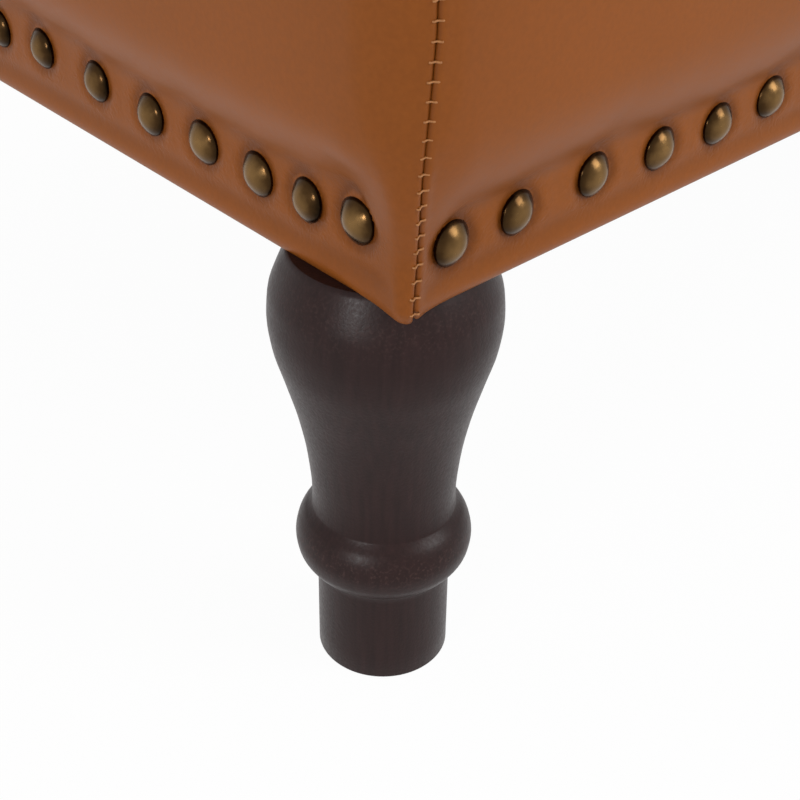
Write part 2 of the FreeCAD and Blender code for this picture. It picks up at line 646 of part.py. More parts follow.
def dust_cover():
    """Cloth under the box, inside the leather's lower edge and pierced for the leg bolts."""
    inset = value(f"wall_thickness + 2 * {SKIN} + soft_gap")
    length, depth = value(BAND_LENGTH) - 2 * inset, value(BAND_DEPTH) - 2 * inset
    corner = Vector(-length / 2, -depth / 2, value("leg_height"))
    cloth = Part.makeBox(length, depth, value("hide_thickness"), corner)
    bore = Part.makeCylinder(value("bolt_radius + soft_gap"), value("leg_height + hide_thickness"))
    return cloth.cut(at_legs(bore))


shaped("storage_lining", storage_lining())
shaped("dust_cover", dust_cover())


# Lid


def lid_profile(half, crown, rise, point):
    """Section of the lid: flat below, sides drawn in at the top, round shoulders, crowned top."""
    bottom, top = value(LID_HIDE_BOTTOM), value(LID_TOP)
    lower, shoulder, draw = value("lid_lower_round"), value("lid_shoulder"), value("lid_draw")
    edge = top - crown
    side_end = edge - shoulder

    def side(sign):
        lower_turn = (point(sign * (half - lower), bottom), point(sign * half, bottom),
                      point(sign * half, bottom + lower))
        shoulder_turn = (point(sign * (half - draw), side_end), point(sign * (half - draw), edge),
                         point(sign * (half - draw - shoulder), edge))
        return lower_turn, shoulder_turn

    right_low, right_high = side(1)
    left_low, left_high = side(-1)
    return outline(
        left_low[0],
        right_low[0],
        corner_arc(*right_low),
        right_high[0],
        corner_arc(*right_high),
        (point(0, top + rise), left_high[2]),
        corner_arc(*reversed(left_high)),
        left_low[2],
        corner_arc(*reversed(left_low)),
    )


def lid_form(inset):
    """The lid's padded form before tufting, drawn in on all sides by an inset."""
    half_x, half_y = value(f"{LID_LENGTH} / 2"), value(f"{LID_DEPTH} / 2")
    over = value("lid_overhang")
    across = lid_profile(half_y, value("lid_crown"), 0, lambda reach, height: Vector(0, reach, height))
    along = lid_profile(half_x, value("lid_end_crown"), value("lid_end_rise"),
                        lambda reach, height: Vector(reach, 0, height))
    if inset:
        across = across.makeOffset2D(-inset)
        along = along.makeOffset2D(-inset)
    # Each prism runs past the other's sides, and their crowns don't touch at a peak.
    run = across.translated(Vector(-half_x - over, 0, 0)).extrude(Vector(2 * (half_x + over), 0, 0))
    length = along.translated(Vector(0, -half_y - over, 0)).extrude(Vector(0, 2 * (half_y + over), 0))
    # The plate rounds the corners alone, so its flat sides stay clear of the padding's own.
    return run.common(length).common(slab(inset - value("hide_thickness"), 0, value(LID_TOP)))


def tufts():
    """Button places: a middle row and, half a pitch aside, one row on each side of it."""
    pitch, row, columns = value(TUFT_PITCH), value(TUFT_ROW), int(value("tuft_columns"))
    middle = [Vector(pitch * (i - (columns - 1) / 2), 0, 0) for i in range(columns)]
    outer = [Vector(pitch * (i - (columns - 2) / 2), side * row, 0)
             for side in (-1, 1) for i in range(columns - 1)]
    return middle, outer


def crown_height(place):
    """Height of the untufted crown over a place on the lid, the lower of its two arcs."""

    def arc_height(reach, half, crown, rise):
        tall = crown + rise
        radius = (half ** 2 + tall ** 2) / (2 * tall)
        return value(LID_TOP) + rise - radius + math.sqrt(radius ** 2 - reach ** 2)

    edge = value("lid_draw + lid_shoulder")
    return min(arc_height(place.y, value(f"{LID_DEPTH} / 2") - edge, value("lid_crown"), 0),
               arc_height(place.x, value(f"{LID_LENGTH} / 2") - edge, value("lid_end_crown"),
                          value("lid_end_rise")))


def pleats():
    """Pairs of places that a pleat joins: diagonals between buttons, then runs out to the lid's edges."""
    middle, outer = tufts()
    pitch = value(TUFT_PITCH)
    half_x, half_y = value(f"{LID_LENGTH} / 2"), value(f"{LID_DEPTH} / 2")
    runs = [(one, other) for one in middle for other in outer if abs(one.x - other.x) < pitch]
    for place in outer:
        runs.append((place, Vector(place.x, math.copysign(half_y, place.y), 0)))
    last = max(place.x for place in outer)
    for place in outer:
        if abs(place.x) > last - 1:
            runs.append((place, Vector(math.copysign(half_x, place.x), math.copysign(half_y, place.y), 0)))
    for place in (middle[0], middle[-1]):
        runs.append((place, Vector(math.copysign(half_x, place.x), 0, 0)))
    return runs


def pleat_cutter(start, end, sink):
    """A wedge along a pleat, its edge the pleat's depth below the crown."""
    depth, half = value("pleat_depth"), value("pleat_width / 2")
    tall = 4 * depth
    low = [place + Z_AXIS * (crown_height(place) - depth - sink) for place in (start, end)]
    across = Vector(start.y - end.y, end.x - start.x, 0).normalize() * (half * tall / depth)
    top = Z_AXIS * tall
    triangle = Part.makePolygon([low[0], low[0] + top + across, low[0] + top - across, low[0]])
    return Part.Face(triangle).extrude(low[1] - low[0])


def tuft_cutter(place, sink):
    """A funnel with a flat floor that holds a button."""
    depth = value("tuft_depth")
    floor = value("button_radius + 2 * soft_gap") / math.cos(math.pi / FLATS)
    slope = (value("tuft_mouth") - floor) / depth
    tall = 2 * depth
    bottom = place + Z_AXIS * (crown_height(place) - depth - sink)
    return faceted((floor, 0), (floor + slope * tall, tall)).translated(bottom)


def tufted(form, sink):
    """A lid form with its tufts and pleats pressed in, all lower by sink."""
    middle, outer = tufts()
    cutters = [tuft_cutter(place, sink) for place in middle + outer]
    cutters += [pleat_cutter(start, end, sink) for start, end in pleats()]
    return form.cut(cutters)


def slab(inset, bottom, height):
    """A plate with the lid's plan, drawn in on all sides by an inset."""
    length, depth = value(LID_LENGTH) - 2 * inset, value(LID_DEPTH) - 2 * inset
    plate = Part.makeBox(length, depth, height, Vector(-length / 2, -depth / 2, bottom))
    corner = value("lid_corner") - inset
    upright = [edge for edge in plate.Edges if abs(edge.tangentAt(edge.FirstParameter).z) > 0.9]
    return plate.makeFillet(corner, upright) if corner > 0 else plate


def lid_pieces():
    """Board, foam, tufted cover, buttons, twines and lining of the lid."""
    hide, gap = value("hide_thickness"), value("soft_gap")
    # A layer laid on the pleats' slopes is thinner than the height by which it sinks.
    steep = math.hypot(1, 2 * value("pleat_depth") / value("pleat_width"))
    outer = tufted(lid_form(0), 0)
    inner = tufted(lid_form(hide), hide * steep)
    opening = slab(value("lid_return + lid_lower_round"), value(LID_BOTTOM), value("lid_lower_round"))
    board_top, board_bottom = value(LID_BOARD_TOP), value(LID_BOARD_BOTTOM)
    shaped("lid_cover", outer.cut(inner).cut(opening))

    middle, outside = tufts()
    places = middle + outside
    twine = value("twine_width")
    sunk = lid_form(hide + gap).translated(Z_AXIS * -value("tuft_depth + 2 * hide_thickness"))
    foam = sunk.common(lid_form(hide + gap)).common(slab(0, board_top, value("lid_height")))
    width = twine + 2 * gap
    slot = Part.makeBox(width, width, value(LID_TOP), Vector(-width / 2, -width / 2, 0))
    shaped("lid_foam", foam.cut([slot.translated(place) for place in places]))

    shaped("lid_board", slab(value("lid_board_inset"), board_bottom, value("lid_board_thickness")))
    lining = slab(value("lid_return"), value(LID_BOTTOM), value("lining_thickness"))
    shaped("lid_lining", lining)

    buttons, twines = [], []
    for place in places:
        seat = crown_height(place) - value("tuft_depth") + gap
        buttons.append(button().translated(place + Z_AXIS * seat))
        corner = place + Vector(-twine / 2, -twine / 2, board_top)
        twines.append(Part.makeBox(twine, twine, seat - board_top, corner))
    shaped("tuft_buttons", Part.makeCompound(buttons))
    shaped("tuft_twines", Part.makeCompound(twines))


def button():
    """A covered button: a low dome on a flat base."""
    return faceted((value("button_base"), 0), (value("button_radius"), value("button_waist")),
                   (value("button_bend_radius"), value("button_bend_height")), (0, value("button_height")))


def bumpers():
    """Rubber buttons under the lid that meet the rim of the front and end walls."""
    height = value("lid_gap - bumper_relief")
    reach_x, reach_y = value(f"{BAND_LENGTH} / 2 - bumper_inset"), value(f"{BAND_DEPTH} / 2 - bumper_inset")
    stud = Part.makeCylinder(value("bumper_radius"), height, Vector(0, 0, value(LID_BOTTOM) - height))
    inner_x = value(HINGE_SPREAD)
    places = [Vector(side * inner_x, -reach_y, 0) for side in (-1, 1)]
    places += [Vector(side * reach_x, -value(TUFT_ROW), 0) for side in (-1, 1)]
    return Part.makeCompound([stud.translated(place) for place in places])


lid_pieces()
shaped("lid_bumpers", bumpers())


# Hinges

HINGES = [("left", -1), ("middle", 0), ("right", 1)]
LEAF_EDGE = "(knuckle_radius + 2 * knuckle_gap)"
SCREW_OUT = f"({HINGE_Y} - carcass_depth / 2 + wall_thickness / 2)"
MIDDLE_KNUCKLE = "(hinge_length - 2 * knuckle_share - 2 * knuckle_gap)"


def hinge_leaf(label, centre, bottom, knuckles, mouth, drive):
    """A leaf with its knuckles; mouth is the height of its screws' countersinks, driven up or down."""
    plate = centred_box(label + "_plate", "hinge_length", f"leaf_width - {LEAF_EDGE}", "leaf_thickness",
                        centre, f"{HINGE_Y} - (leaf_width + {LEAF_EDGE}) / 2", bottom)
    solids, index = [plate], 0
    for start, length in knuckles:
        name = f"{label}_{index}"
        first = f"{centre} + {start}"
        solids.append(cylinder(name + "_knuckle", "knuckle_radius", length,
                               first, HINGE_Y, HINGE_Z, X_AXIS))
        solids.append(box(name + "_root", length, LEAF_EDGE, "leaf_thickness",
                          first, f"{HINGE_Y} - {LEAF_EDGE}", bottom))
        index += 1
    holes = [cylinder(label + "_bore", "pin_radius + pin_clearance", "hinge_length",
                      f"{centre} - hinge_length / 2", HINGE_Y, HINGE_Z, X_AXIS)]
    for name, step in (("first", -1), ("second", 1)):
        holes.append(countersink(f"{label}_{name}_seat", f"{centre} + {step} * hinge_length / 3",
                                 f"{HINGE_Y} - {SCREW_OUT}", mouth, drive))
    whole = fuse(label + "_whole", solids)
    node(cut(label, whole, fuse(label + "_holes", holes)), label)


for name, place in HINGES:
    centre = f"{place} * {HINGE_SPREAD}"
    outer_knuckles = [("-1 * hinge_length / 2", "knuckle_share"),
                      ("hinge_length / 2 - knuckle_share", "knuckle_share")]
    hinge_leaf(f"hinge_box_leaf_{name}", centre, RIM,
               outer_knuckles, f"{RIM} + leaf_thickness", Z_AXIS * -1)
    hinge_leaf(f"hinge_lid_leaf_{name}", centre, f"{LID_BOTTOM} - leaf_thickness",
               [(f"-1 * {MIDDLE_KNUCKLE} / 2", MIDDLE_KNUCKLE)], f"{LID_BOTTOM} - leaf_thickness", Z_AXIS)

hinge_start = Vector(-value("hinge_length / 2"), value(HINGE_Y), value(HINGE_Z))
pin = Part.makeCylinder(value("pin_radius"), value("hinge_length"), hinge_start, X_AXIS)
hinge_step = Vector(value(HINGE_SPREAD), 0, 0)
shaped("hinge_pins", Part.makeCompound([pin.translated(hinge_step * place) for name, place in HINGES]))


# Gas struts: each lies in an upright plane beside an end wall

STRUT_LEAN = f"atan(({WALL_PIVOT_Y} - {LID_PIVOT_Y}) / ({LID_PIVOT_Z} - {WALL_PIVOT_Z}))"


def lay_strut(thing, label, side, pivot_y, pivot_z):
    """Leans a strut's piece, made upright about its eye, towards the lid's pivot."""
    thing.Placement.Rotation = FreeCAD.Rotation(X_AXIS, 1)
    thing.setExpression("Placement.Rotation.Angle", formula(STRUT_LEAN))
    node(tie(thing, x=f"{side} * {STRUT_X}", y=pivot_y, z=pivot_z), label)


def eye(name):
    """The ring at a strut's end and the hole in it, both along X about the origin."""
    ring = cylinder(name + "_ring", "eye_radius", "eye_width", "-eye_width / 2", "0", "0", X_AXIS)
    hole = cylinder(name + "_hole", "stud_radius + stud_clearance", "eye_width",
                    "-eye_width / 2", "0", "0", X_AXIS)
    return ring, hole


def strut_tube(label, side):
    """The lower half: an eye, a solid foot, a bored tube and the guide at its mouth."""
    length = f"({STRUT_CLOSED} - strut_show)"
    ring, hole = eye(label)
    barrel = cylinder(label + "_barrel", "tube_radius", f"{length} - eye_radius / 2",
                      "0", "0", "eye_radius / 2")
    foot_hole = cylinder(label + "_socket", "stud_radius + stud_clearance", "2 * tube_radius",
                         "-tube_radius", "0", "0", X_AXIS)
    bore = cylinder(label + "_bore", "tube_radius - tube_wall", f"{length} - tube_foot - tube_cap",
                    "0", "0", "tube_foot")
    guide = cylinder(label + "_guide", "rod_radius + rod_clearance", "tube_foot + tube_cap",
                     "0", "0", f"{length} - tube_foot")
    flats = [box(f"{label}_flat_{number}", "tube_radius", "2 * tube_radius", "eye_radius + stud_clearance",
                 start, "-tube_radius", "0")
             for number, start in enumerate(("eye_width / 2", "-eye_width / 2 - tube_radius"))]
    whole = fuse(label + "_whole", [ring, barrel])
    lay_strut(cut(label, whole, fuse(label + "_holes", [hole, foot_hole, bore, guide] + flats)),
              label, side, WALL_PIVOT_Y, WALL_PIVOT_Z)


def strut_rod(label, side):
    """The upper half: an eye and a rod that reaches down into the tube."""
    length = f"({STRUT_CLOSED} - tube_foot - rod_run_out)"
    ring, hole = eye(label)
    shaft = cylinder(label + "_shaft", "rod_radius", f"{length} - stud_radius - stud_clearance",
                     "0", "0", f"-{length}")
    whole = fuse(label + "_whole", [ring, shaft])
    lay_strut(cut(label, whole, hole), label, side, LID_PIVOT_Y, LID_PIVOT_Z)


def stud(name, side, wall, pivot_y, pivot_z):
    """Shoulder, shaft and head of a stud that stands inwards from a wall at wall (a formula for |x|)."""
    inward = X_AXIS * -side
    shoulder = f"({wall} - {STRUT_X} - eye_width / 2 - eye_play)"
    shaft = "(eye_width + 2 * eye_play)"
    return [
        cylinder(name + "_shoulder", "stud_head", shoulder,
                 f"{side} * {wall}", pivot_y, pivot_z, inward),
        cylinder(name + "_shaft", "stud_radius", shaft,
                 f"{side} * ({wall} - {shoulder})", pivot_y, pivot_z, inward),
        cylinder(name + "_head", "stud_head", "stud_head_width",
                 f"{side} * ({wall} - {shoulder} - {shaft})", pivot_y, pivot_z, inward),
    ]


FLANGE_OUT = f"({WALL_FACE_X} - 1.5 * bracket_thickness)"
SCREW_STEP = "(bracket_length / 2 - bracket_width / 3)"


def wall_bracket(label, side):
    """A plate on the end wall with the stud of the strut's lower eye."""
    plate = centred_box(label + "_plate", "bracket_thickness", "bracket_length", "bracket_width",
                        f"{side} * ({WALL_FACE_X} - bracket_thickness / 2)", WALL_PIVOT_Y,
                        f"{WALL_PIVOT_Z} - bracket_width / 2")
    inner = f"({WALL_FACE_X} - bracket_thickness)"
    seats = [countersink(f"{label}_{name}_seat", f"{side} * {inner}",
                         f"{WALL_PIVOT_Y} + {step} * {SCREW_STEP}", WALL_PIVOT_Z, X_AXIS * side)
             for name, step in (("front", -1), ("back", 1))]
    whole = fuse(label + "_whole", [plate] + stud(label, side, inner, WALL_PIVOT_Y, WALL_PIVOT_Z))
    node(cut(label, whole, fuse(label + "_seats", seats)), label)


def lid_bracket(label, side):
    """An angle under the lid with the stud of the strut's upper eye on its flange."""
    flange = box(label + "_flange", "bracket_thickness", "bracket_width",
                 f"{LID_BOTTOM} - {LID_PIVOT_Z} + stud_head + bracket_thickness",
                 f"{side} * {FLANGE_OUT} - bracket_thickness / 2 - {side} * bracket_thickness / 2",
                 f"{LID_PIVOT_Y} - bracket_width / 2", f"{LID_PIVOT_Z} - stud_head - bracket_thickness")
    plate = centred_box(label + "_plate", "bracket_width", "bracket_length", "bracket_thickness",
                        f"{side} * ({FLANGE_OUT} - bracket_width / 2)", LID_PIVOT_Y,
                        f"{LID_BOTTOM} - bracket_thickness")
    seats = [countersink(f"{label}_{name}_seat", f"{side} * ({FLANGE_OUT} - bracket_width / 2)",
                         f"{LID_PIVOT_Y} + {step} * {SCREW_STEP}",
                         f"{LID_BOTTOM} - bracket_thickness", Z_AXIS)
             for name, step in (("front", -1), ("back", 1))]
    inner = f"({FLANGE_OUT} - bracket_thickness)"
    whole = fuse(label + "_whole", [flange, plate] + stud(label, side, inner, LID_PIVOT_Y, LID_PIVOT_Z))
    node(cut(label, whole, fuse(label + "_seats", seats)), label)


for side, sign in LEFT_RIGHT:
    strut_tube(f"strut_tube_{side}", sign)
    strut_rod(f"strut_rod_{side}", sign)
    wall_bracket(f"strut_bracket_box_{side}", sign)
    lid_bracket(f"strut_bracket_lid_{side}", sign)


# Screws


def screw(x, y, z, along):
    """A countersunk wood screw with its head flush at a point, driven along an axis."""
    shank = value("screw_radius")
    whole = faceted((value("screw_head"), 0), (shank, value("bracket_thickness")),
                    (shank, value("screw_length - screw_point")), (0, value("screw_length")))
    mouth = Vector(value(x), value(y), value(z))
    whole.Placement = FreeCAD.Placement(mouth, FreeCAD.Rotation(Z_AXIS, along))
    return whole


box_screws, lid_screws = [], []
for name, place in HINGES:
    for step in (-1, 1):
        screw_x = f"{place} * {HINGE_SPREAD} + {step} * hinge_length / 3"
        screw_y = f"{HINGE_Y} - {SCREW_OUT}"
        box_screws.append(screw(screw_x, screw_y, f"{RIM} + leaf_thickness", Z_AXIS * -1))
        lid_screws.append(screw(screw_x, screw_y, f"{LID_BOTTOM} - leaf_thickness", Z_AXIS))
for side, sign in LEFT_RIGHT:
    for step in (-1, 1):
        box_screws.append(screw(f"{sign} * ({WALL_FACE_X} - bracket_thickness)",
                                f"{WALL_PIVOT_Y} + {step} * {SCREW_STEP}", WALL_PIVOT_Z, X_AXIS * sign))
        lid_screws.append(screw(f"{sign} * ({FLANGE_OUT} - bracket_width / 2)",
                                f"{LID_PIVOT_Y} + {step} * {SCREW_STEP}",
                                f"{LID_BOTTOM} - bracket_thickness", Z_AXIS))
shaped("box_hardware_screws", Part.makeCompound(box_screws))
shaped("lid_hardware_screws", Part.makeCompound(lid_screws))

doc.recompute()
for thing in doc.Objects:
    if {"Invalid", "Error"} & set(thing.State):
        raise RuntimeError(f"{thing.Label} failed: {thing.State}")
for thing in nodes:
    if thing.Shape.isNull() or not thing.Shape.isValid():
        raise RuntimeError(f"{thing.Label} has no valid shape")

os.makedirs("parts", exist_ok=True)
for thing in nodes:
    thing.Shape.exportStep(f"parts/{thing.Label}.step")
print(f"{len(nodes)} sub-parts written")
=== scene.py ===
# %% [markdown]
# # A tufted storage bench in Blender
# The CAD model gives every piece its place and its motion. This lesson dresses it: padded leather sides
# with a row of brass nails, sewn corners, turned legs and a button-tufted lid. Soft pieces are built from
# small functions of place, because padding that is held by nails and buttons follows a rule more than a
# brush does.

# %% The frame
import json
import math

import bmesh
import bpy
import numpy as np
from mathutils import Matrix, Vector


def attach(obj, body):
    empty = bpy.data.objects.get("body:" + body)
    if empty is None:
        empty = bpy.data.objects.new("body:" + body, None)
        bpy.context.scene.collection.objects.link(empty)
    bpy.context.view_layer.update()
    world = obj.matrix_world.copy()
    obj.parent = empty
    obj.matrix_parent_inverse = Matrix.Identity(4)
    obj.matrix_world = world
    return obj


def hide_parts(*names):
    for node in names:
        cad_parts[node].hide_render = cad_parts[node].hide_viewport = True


MM = 0.001
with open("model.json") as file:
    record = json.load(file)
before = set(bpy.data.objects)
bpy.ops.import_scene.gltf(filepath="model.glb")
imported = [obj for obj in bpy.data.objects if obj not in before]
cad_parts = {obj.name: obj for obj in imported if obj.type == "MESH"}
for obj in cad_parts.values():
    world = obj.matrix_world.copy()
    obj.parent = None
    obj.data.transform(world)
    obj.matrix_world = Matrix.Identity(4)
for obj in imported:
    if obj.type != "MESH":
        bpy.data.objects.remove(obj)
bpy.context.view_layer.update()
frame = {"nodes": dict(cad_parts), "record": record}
print("CAD nodes:", len(frame["nodes"]))


# %% [markdown]
# ## Colours and nodes
# A colour is written as it looks on a screen, and one function turns it to the linear light that Blender's
# sockets take. A second adds a node with its settings and links, so that a finish reads as a list of steps.

# %% Colours and nodes
def srgb(code):
    """A colour written as sRGB hex, as linear RGBA."""
    channels = [int(code[i:i + 2], 16) / 255 for i in (1, 3, 5)]
    linear = [c / 12.92 if c <= 0.04045 else ((c + 0.055) / 1.055) ** 2.4 for c in channels]
    return (*linear, 1.0)


def add(tree, kind, inputs=None, **settings):
    """Adds a node; inputs maps its sockets to values, to sockets or to nodes (their first output in use)."""
    node = tree.nodes.new(kind)
    for name, value in settings.items():
        setattr(node, name, value)
    for name, value in (inputs or {}).items():
        if isinstance(value, bpy.types.Node):
            value = next(socket for socket in value.outputs if socket.enabled)
        if isinstance(value, bpy.types.NodeSocket):
            tree.links.new(value, node.inputs[name])
        else:
            node.inputs[name].default_value = value
    return node


print("middle grey in linear light:", round(srgb("#808080")[0], 3))


# %% [markdown]
# ## Finishes
# Each finish starts from what the real one is. A pattern's scale is one over its size in metres, so a grain
# of 0.9 mm has a scale of 1000 / 0.9. Patterns read Object coordinates, since every piece keeps its place
# in its mesh.

# %% A blank finish
def empty_tree(owner):
    """The cleared node tree of a material or a world."""
    owner.use_nodes = True
    owner.node_tree.nodes.clear()
    return owner.node_tree


def blank_finish(name):
    """A new material, its tree and the object's own coordinates."""
    material = bpy.data.materials.new(name)
    tree = empty_tree(material)
    return material, tree, add(tree, "ShaderNodeTexCoord").outputs["Object"]


def coat(tree, inputs):
    """Ends a finish in one Principled shader."""
    shader = add(tree, "ShaderNodeBsdfPrincipled", inputs)
    add(tree, "ShaderNodeOutputMaterial", {"Surface": shader})


def set_stops(ramp, *stops):
    """Gives a colour ramp its stops, each a position and an sRGB colour."""
    elements = ramp.color_ramp.elements
    for _ in range(len(stops) - len(elements)):
        elements.new(0.5)
    for element, (position, code) in zip(elements, stops):
        element.position = position
        element.color = srgb(code)


def grain_of(millimetres):
    """The texture scale at which one cell is that size."""
    return 1 / (millimetres * MM)


print("scale of a 0.9 mm grain:", round(grain_of(0.9)))


# %% [markdown]
# Faux leather is a cloth with a pressed skin of polyurethane: even caramel colour, a satin skin with a very
# fine grain, and tiny stretch lines where nails pull it. Creases, seams and the dents round the nails are
# painted darker, as painted shade.

# %% Caramel faux leather
def faux_leather():
    material, tree, place = blank_finish("caramel_faux_leather")
    clouds = add(tree, "ShaderNodeTexNoise", {"Vector": place, "Scale": grain_of(70), "Detail": 3.0})
    tone = add(tree, "ShaderNodeValToRGB", {"Fac": clouds})
    set_stops(tone, (0.3, "#814718"), (0.7, "#85491A"))
    # Painted shade: the mask read here darkens creases, seams, nail dents and the trough below the nails.
    fold_shade = add(tree, "ShaderNodeAttribute", attribute_name="fold_shade").outputs["Fac"]
    painted_light_mix = add(tree, "ShaderNodeMix", {"Factor": fold_shade, "A": tone, "B": srgb("#4A2204")}, data_type="RGBA")
    mottle = add(tree, "ShaderNodeTexNoise", {"Vector": place, "Scale": grain_of(1.3), "Detail": 2.0})
    speck = add(tree, "ShaderNodeMapRange",
                {"Value": mottle, "From Min": 0.3, "From Max": 0.7, "To Min": 0.955, "To Max": 1.045})
    tinted = add(tree, "ShaderNodeMix", {"Factor": 1.0, "A": painted_light_mix, "B": speck}, data_type="RGBA",
                 blend_type="MULTIPLY")
    shine = add(tree, "ShaderNodeMapRange", {"Value": mottle, "To Min": 0.36, "To Max": 0.48})
    # The pressed grain is 0.9 mm, fine enough that it only softens the sheen.
    grain = add(tree, "ShaderNodeTexVoronoi", {"Vector": place, "Scale": grain_of(0.9)})
    pressed = add(tree, "ShaderNodeBump", {"Height": grain, "Strength": 0.10, "Distance": 0.10 * MM})
    pull = add(tree, "ShaderNodeAttribute", attribute_name="pull").outputs["Fac"]
    lines = add(tree, "ShaderNodeTexNoise",
                {"Vector": place, "Scale": grain_of(2.2), "Detail": 3.0, "Distortion": 1.2})
    stretch = add(tree, "ShaderNodeMath", {0: lines, 1: pull}, operation="MULTIPLY")
    pulled = add(tree, "ShaderNodeBump",
                 {"Height": stretch, "Strength": 0.6, "Distance": 0.5 * MM, "Normal": pressed})
    # A white floor fills every reflection and greys the colour, so the specular level is set low.
    coat(tree, {"Base Color": tinted, "Roughness": shine, "Normal": pulled, "Specular IOR Level": 0.12})
    return material


LEATHER = faux_leather()
print(LEATHER.name, "nodes:", len(LEATHER.node_tree.nodes))


# %% [markdown]
# The legs are turned hardwood under an espresso lacquer. Lacquer that is sprayed on end grain and wiped
# leaves faint streaks along the leg and dust specks in its gloss. Paler specks on the ring and at the top of
# the leg are partly rubbed lacquer and partly painted highlight.

# %% Espresso lacquer on turned wood
def espresso_lacquer():
    material, tree, place = blank_finish("espresso_lacquered_wood")
    stretch = add(tree, "ShaderNodeMapping", {"Vector": place, "Scale": (1.0, 1.0, 0.07)})
    streaks = add(tree, "ShaderNodeTexNoise", {"Vector": stretch, "Scale": grain_of(1.6), "Detail": 4.0})
    tone = add(tree, "ShaderNodeValToRGB", {"Fac": streaks})
    set_stops(tone, (0.3, "#221413"), (0.75, "#2B1A19"))
    # Paler specks where the stored field is high: partly rubbed lacquer, partly painted highlight.
    rub_and_sheen = add(tree, "ShaderNodeAttribute", attribute_name="rub_and_sheen").outputs["Fac"]
    dust = add(tree, "ShaderNodeTexNoise", {"Vector": place, "Scale": grain_of(0.8), "Detail": 3.0})
    spots = add(tree, "ShaderNodeMapRange", {"Value": dust, "From Min": 0.52, "From Max": 0.72})
    rub_and_sheen_specks = add(tree, "ShaderNodeMath", {0: spots, 1: rub_and_sheen}, operation="MULTIPLY")
    painted_light_mix = add(tree, "ShaderNodeMix", {"Factor": rub_and_sheen_specks, "A": tone, "B": srgb("#463330")}, data_type="RGBA")
    gloss = add(tree, "ShaderNodeMapRange",
                {"Value": dust, "From Min": 0.3, "From Max": 0.7, "To Min": 0.32, "To Max": 0.44})
    peel = add(tree, "ShaderNodeBump", {"Height": dust, "Strength": 0.25, "Distance": 0.2 * MM})
    # As on the leather: a low specular level keeps the white floor from greying the dark coat.
    coat(tree, {"Base Color": painted_light_mix, "Roughness": gloss, "Normal": peel, "Specular IOR Level": 0.16})
    return material


LACQUER = espresso_lacquer()
print(LACQUER.name, "nodes:", len(LACQUER.node_tree.nodes))


# %% [markdown]
# The nails are stamped steel with a plated, antiqued brass skin: bright where a thumb would polish the
# dome, brown where the patina stays, nearly black at the rim.

# %% Antique brass
def antique_brass():
    material, tree, place = blank_finish("antique_brass_plate")
    patches = add(tree, "ShaderNodeTexNoise", {"Vector": place, "Scale": grain_of(4), "Detail": 4.0})
    dome, tint = [add(tree, "ShaderNodeAttribute", attribute_name=name).outputs["Fac"]
                  for name in ("dome", "tint")]
    polish = add(tree, "ShaderNodeMath", {0: dome, 1: patches}, operation="ADD")
    level = add(tree, "ShaderNodeMath", {0: tint, 1: 0.25, 2: polish}, operation="MULTIPLY_ADD")
    spread = add(tree, "ShaderNodeMapRange", {"Value": level, "From Min": 0.35, "From Max": 1.85})
    tone = add(tree, "ShaderNodeValToRGB", {"Fac": spread})
    set_stops(tone, (0.0, "#120D08"), (0.4, "#402D19"), (1.0, "#80623C"))
    rough = add(tree, "ShaderNodeMapRange",
                {"Value": patches, "From Min": 0.3, "From Max": 0.7, "To Min": 0.17, "To Max": 0.30})
    pits = add(tree, "ShaderNodeTexNoise", {"Vector": place, "Scale": grain_of(0.8), "Detail": 2.0})
    bump = add(tree, "ShaderNodeBump", {"Height": pits, "Strength": 0.18, "Distance": 0.15 * MM})
    coat(tree, {"Base Color": tone, "Roughness": rough, "Normal": bump, "Metallic": 1.0})
    return material


BRASS = antique_brass()
print(BRASS.name, "nodes:", len(BRASS.node_tree.nodes))


# %% [markdown]
# The remaining finishes share a pattern: a base tone, a second tone that a texture mixes in, and a bump
# from the same texture. Wood takes a stretched noise, metal a fine brushed noise and the lining a weave of
# crossed waves.

# %% Patterns for cloth, wood, metal and rubber
def plain_finish(name, tones, millimetres, stretch=(1, 1, 1), bump=0.2, rough=0.6, metallic=0.0):
    """A finish of two tones mixed by a noise of that size, which also gives it a little relief."""
    material, tree, place = blank_finish(name)
    turned = add(tree, "ShaderNodeMapping", {"Vector": place, "Scale": stretch})
    noise = add(tree, "ShaderNodeTexNoise", {"Vector": turned, "Scale": grain_of(millimetres), "Detail": 4.0})
    tone = add(tree, "ShaderNodeValToRGB", {"Fac": noise})
    set_stops(tone, *zip((0.3, 0.7), tones))
    relief = add(tree, "ShaderNodeBump", {"Height": noise, "Strength": bump, "Distance": 0.3 * MM})
    coat(tree, {"Base Color": tone, "Roughness": rough, "Metallic": metallic, "Normal": relief})
    return material


def woven(name, tones, thread):
    """A plain weave: a wave along each axis, so that every side of a box shows two that cross."""
    material, tree, place = blank_finish(name)
    settings = {"Vector": place, "Scale": grain_of(thread) / 10, "Distortion": 0.6, "Detail": 1.0}
    waves = [add(tree, "ShaderNodeTexWave", settings, bands_direction=axis).outputs["Fac"] for axis in "XYZ"]
    pair = add(tree, "ShaderNodeMath", {0: waves[0], 1: waves[1]}, operation="ADD")
    total = add(tree, "ShaderNodeMath", {0: pair, 1: waves[2]}, operation="ADD")
    weave = add(tree, "ShaderNodeMath", {0: total, 1: 3.0}, operation="DIVIDE")
    first, second = [srgb(code) for code in tones]
    tone = add(tree, "ShaderNodeMix", {"Factor": weave, "A": first, "B": second}, data_type="RGBA")
    relief = add(tree, "ShaderNodeBump", {"Height": weave, "Strength": 0.3, "Distance": 0.3 * MM})
    coat(tree, {"Base Color": tone, "Roughness": 0.9, "Normal": relief})
    return material


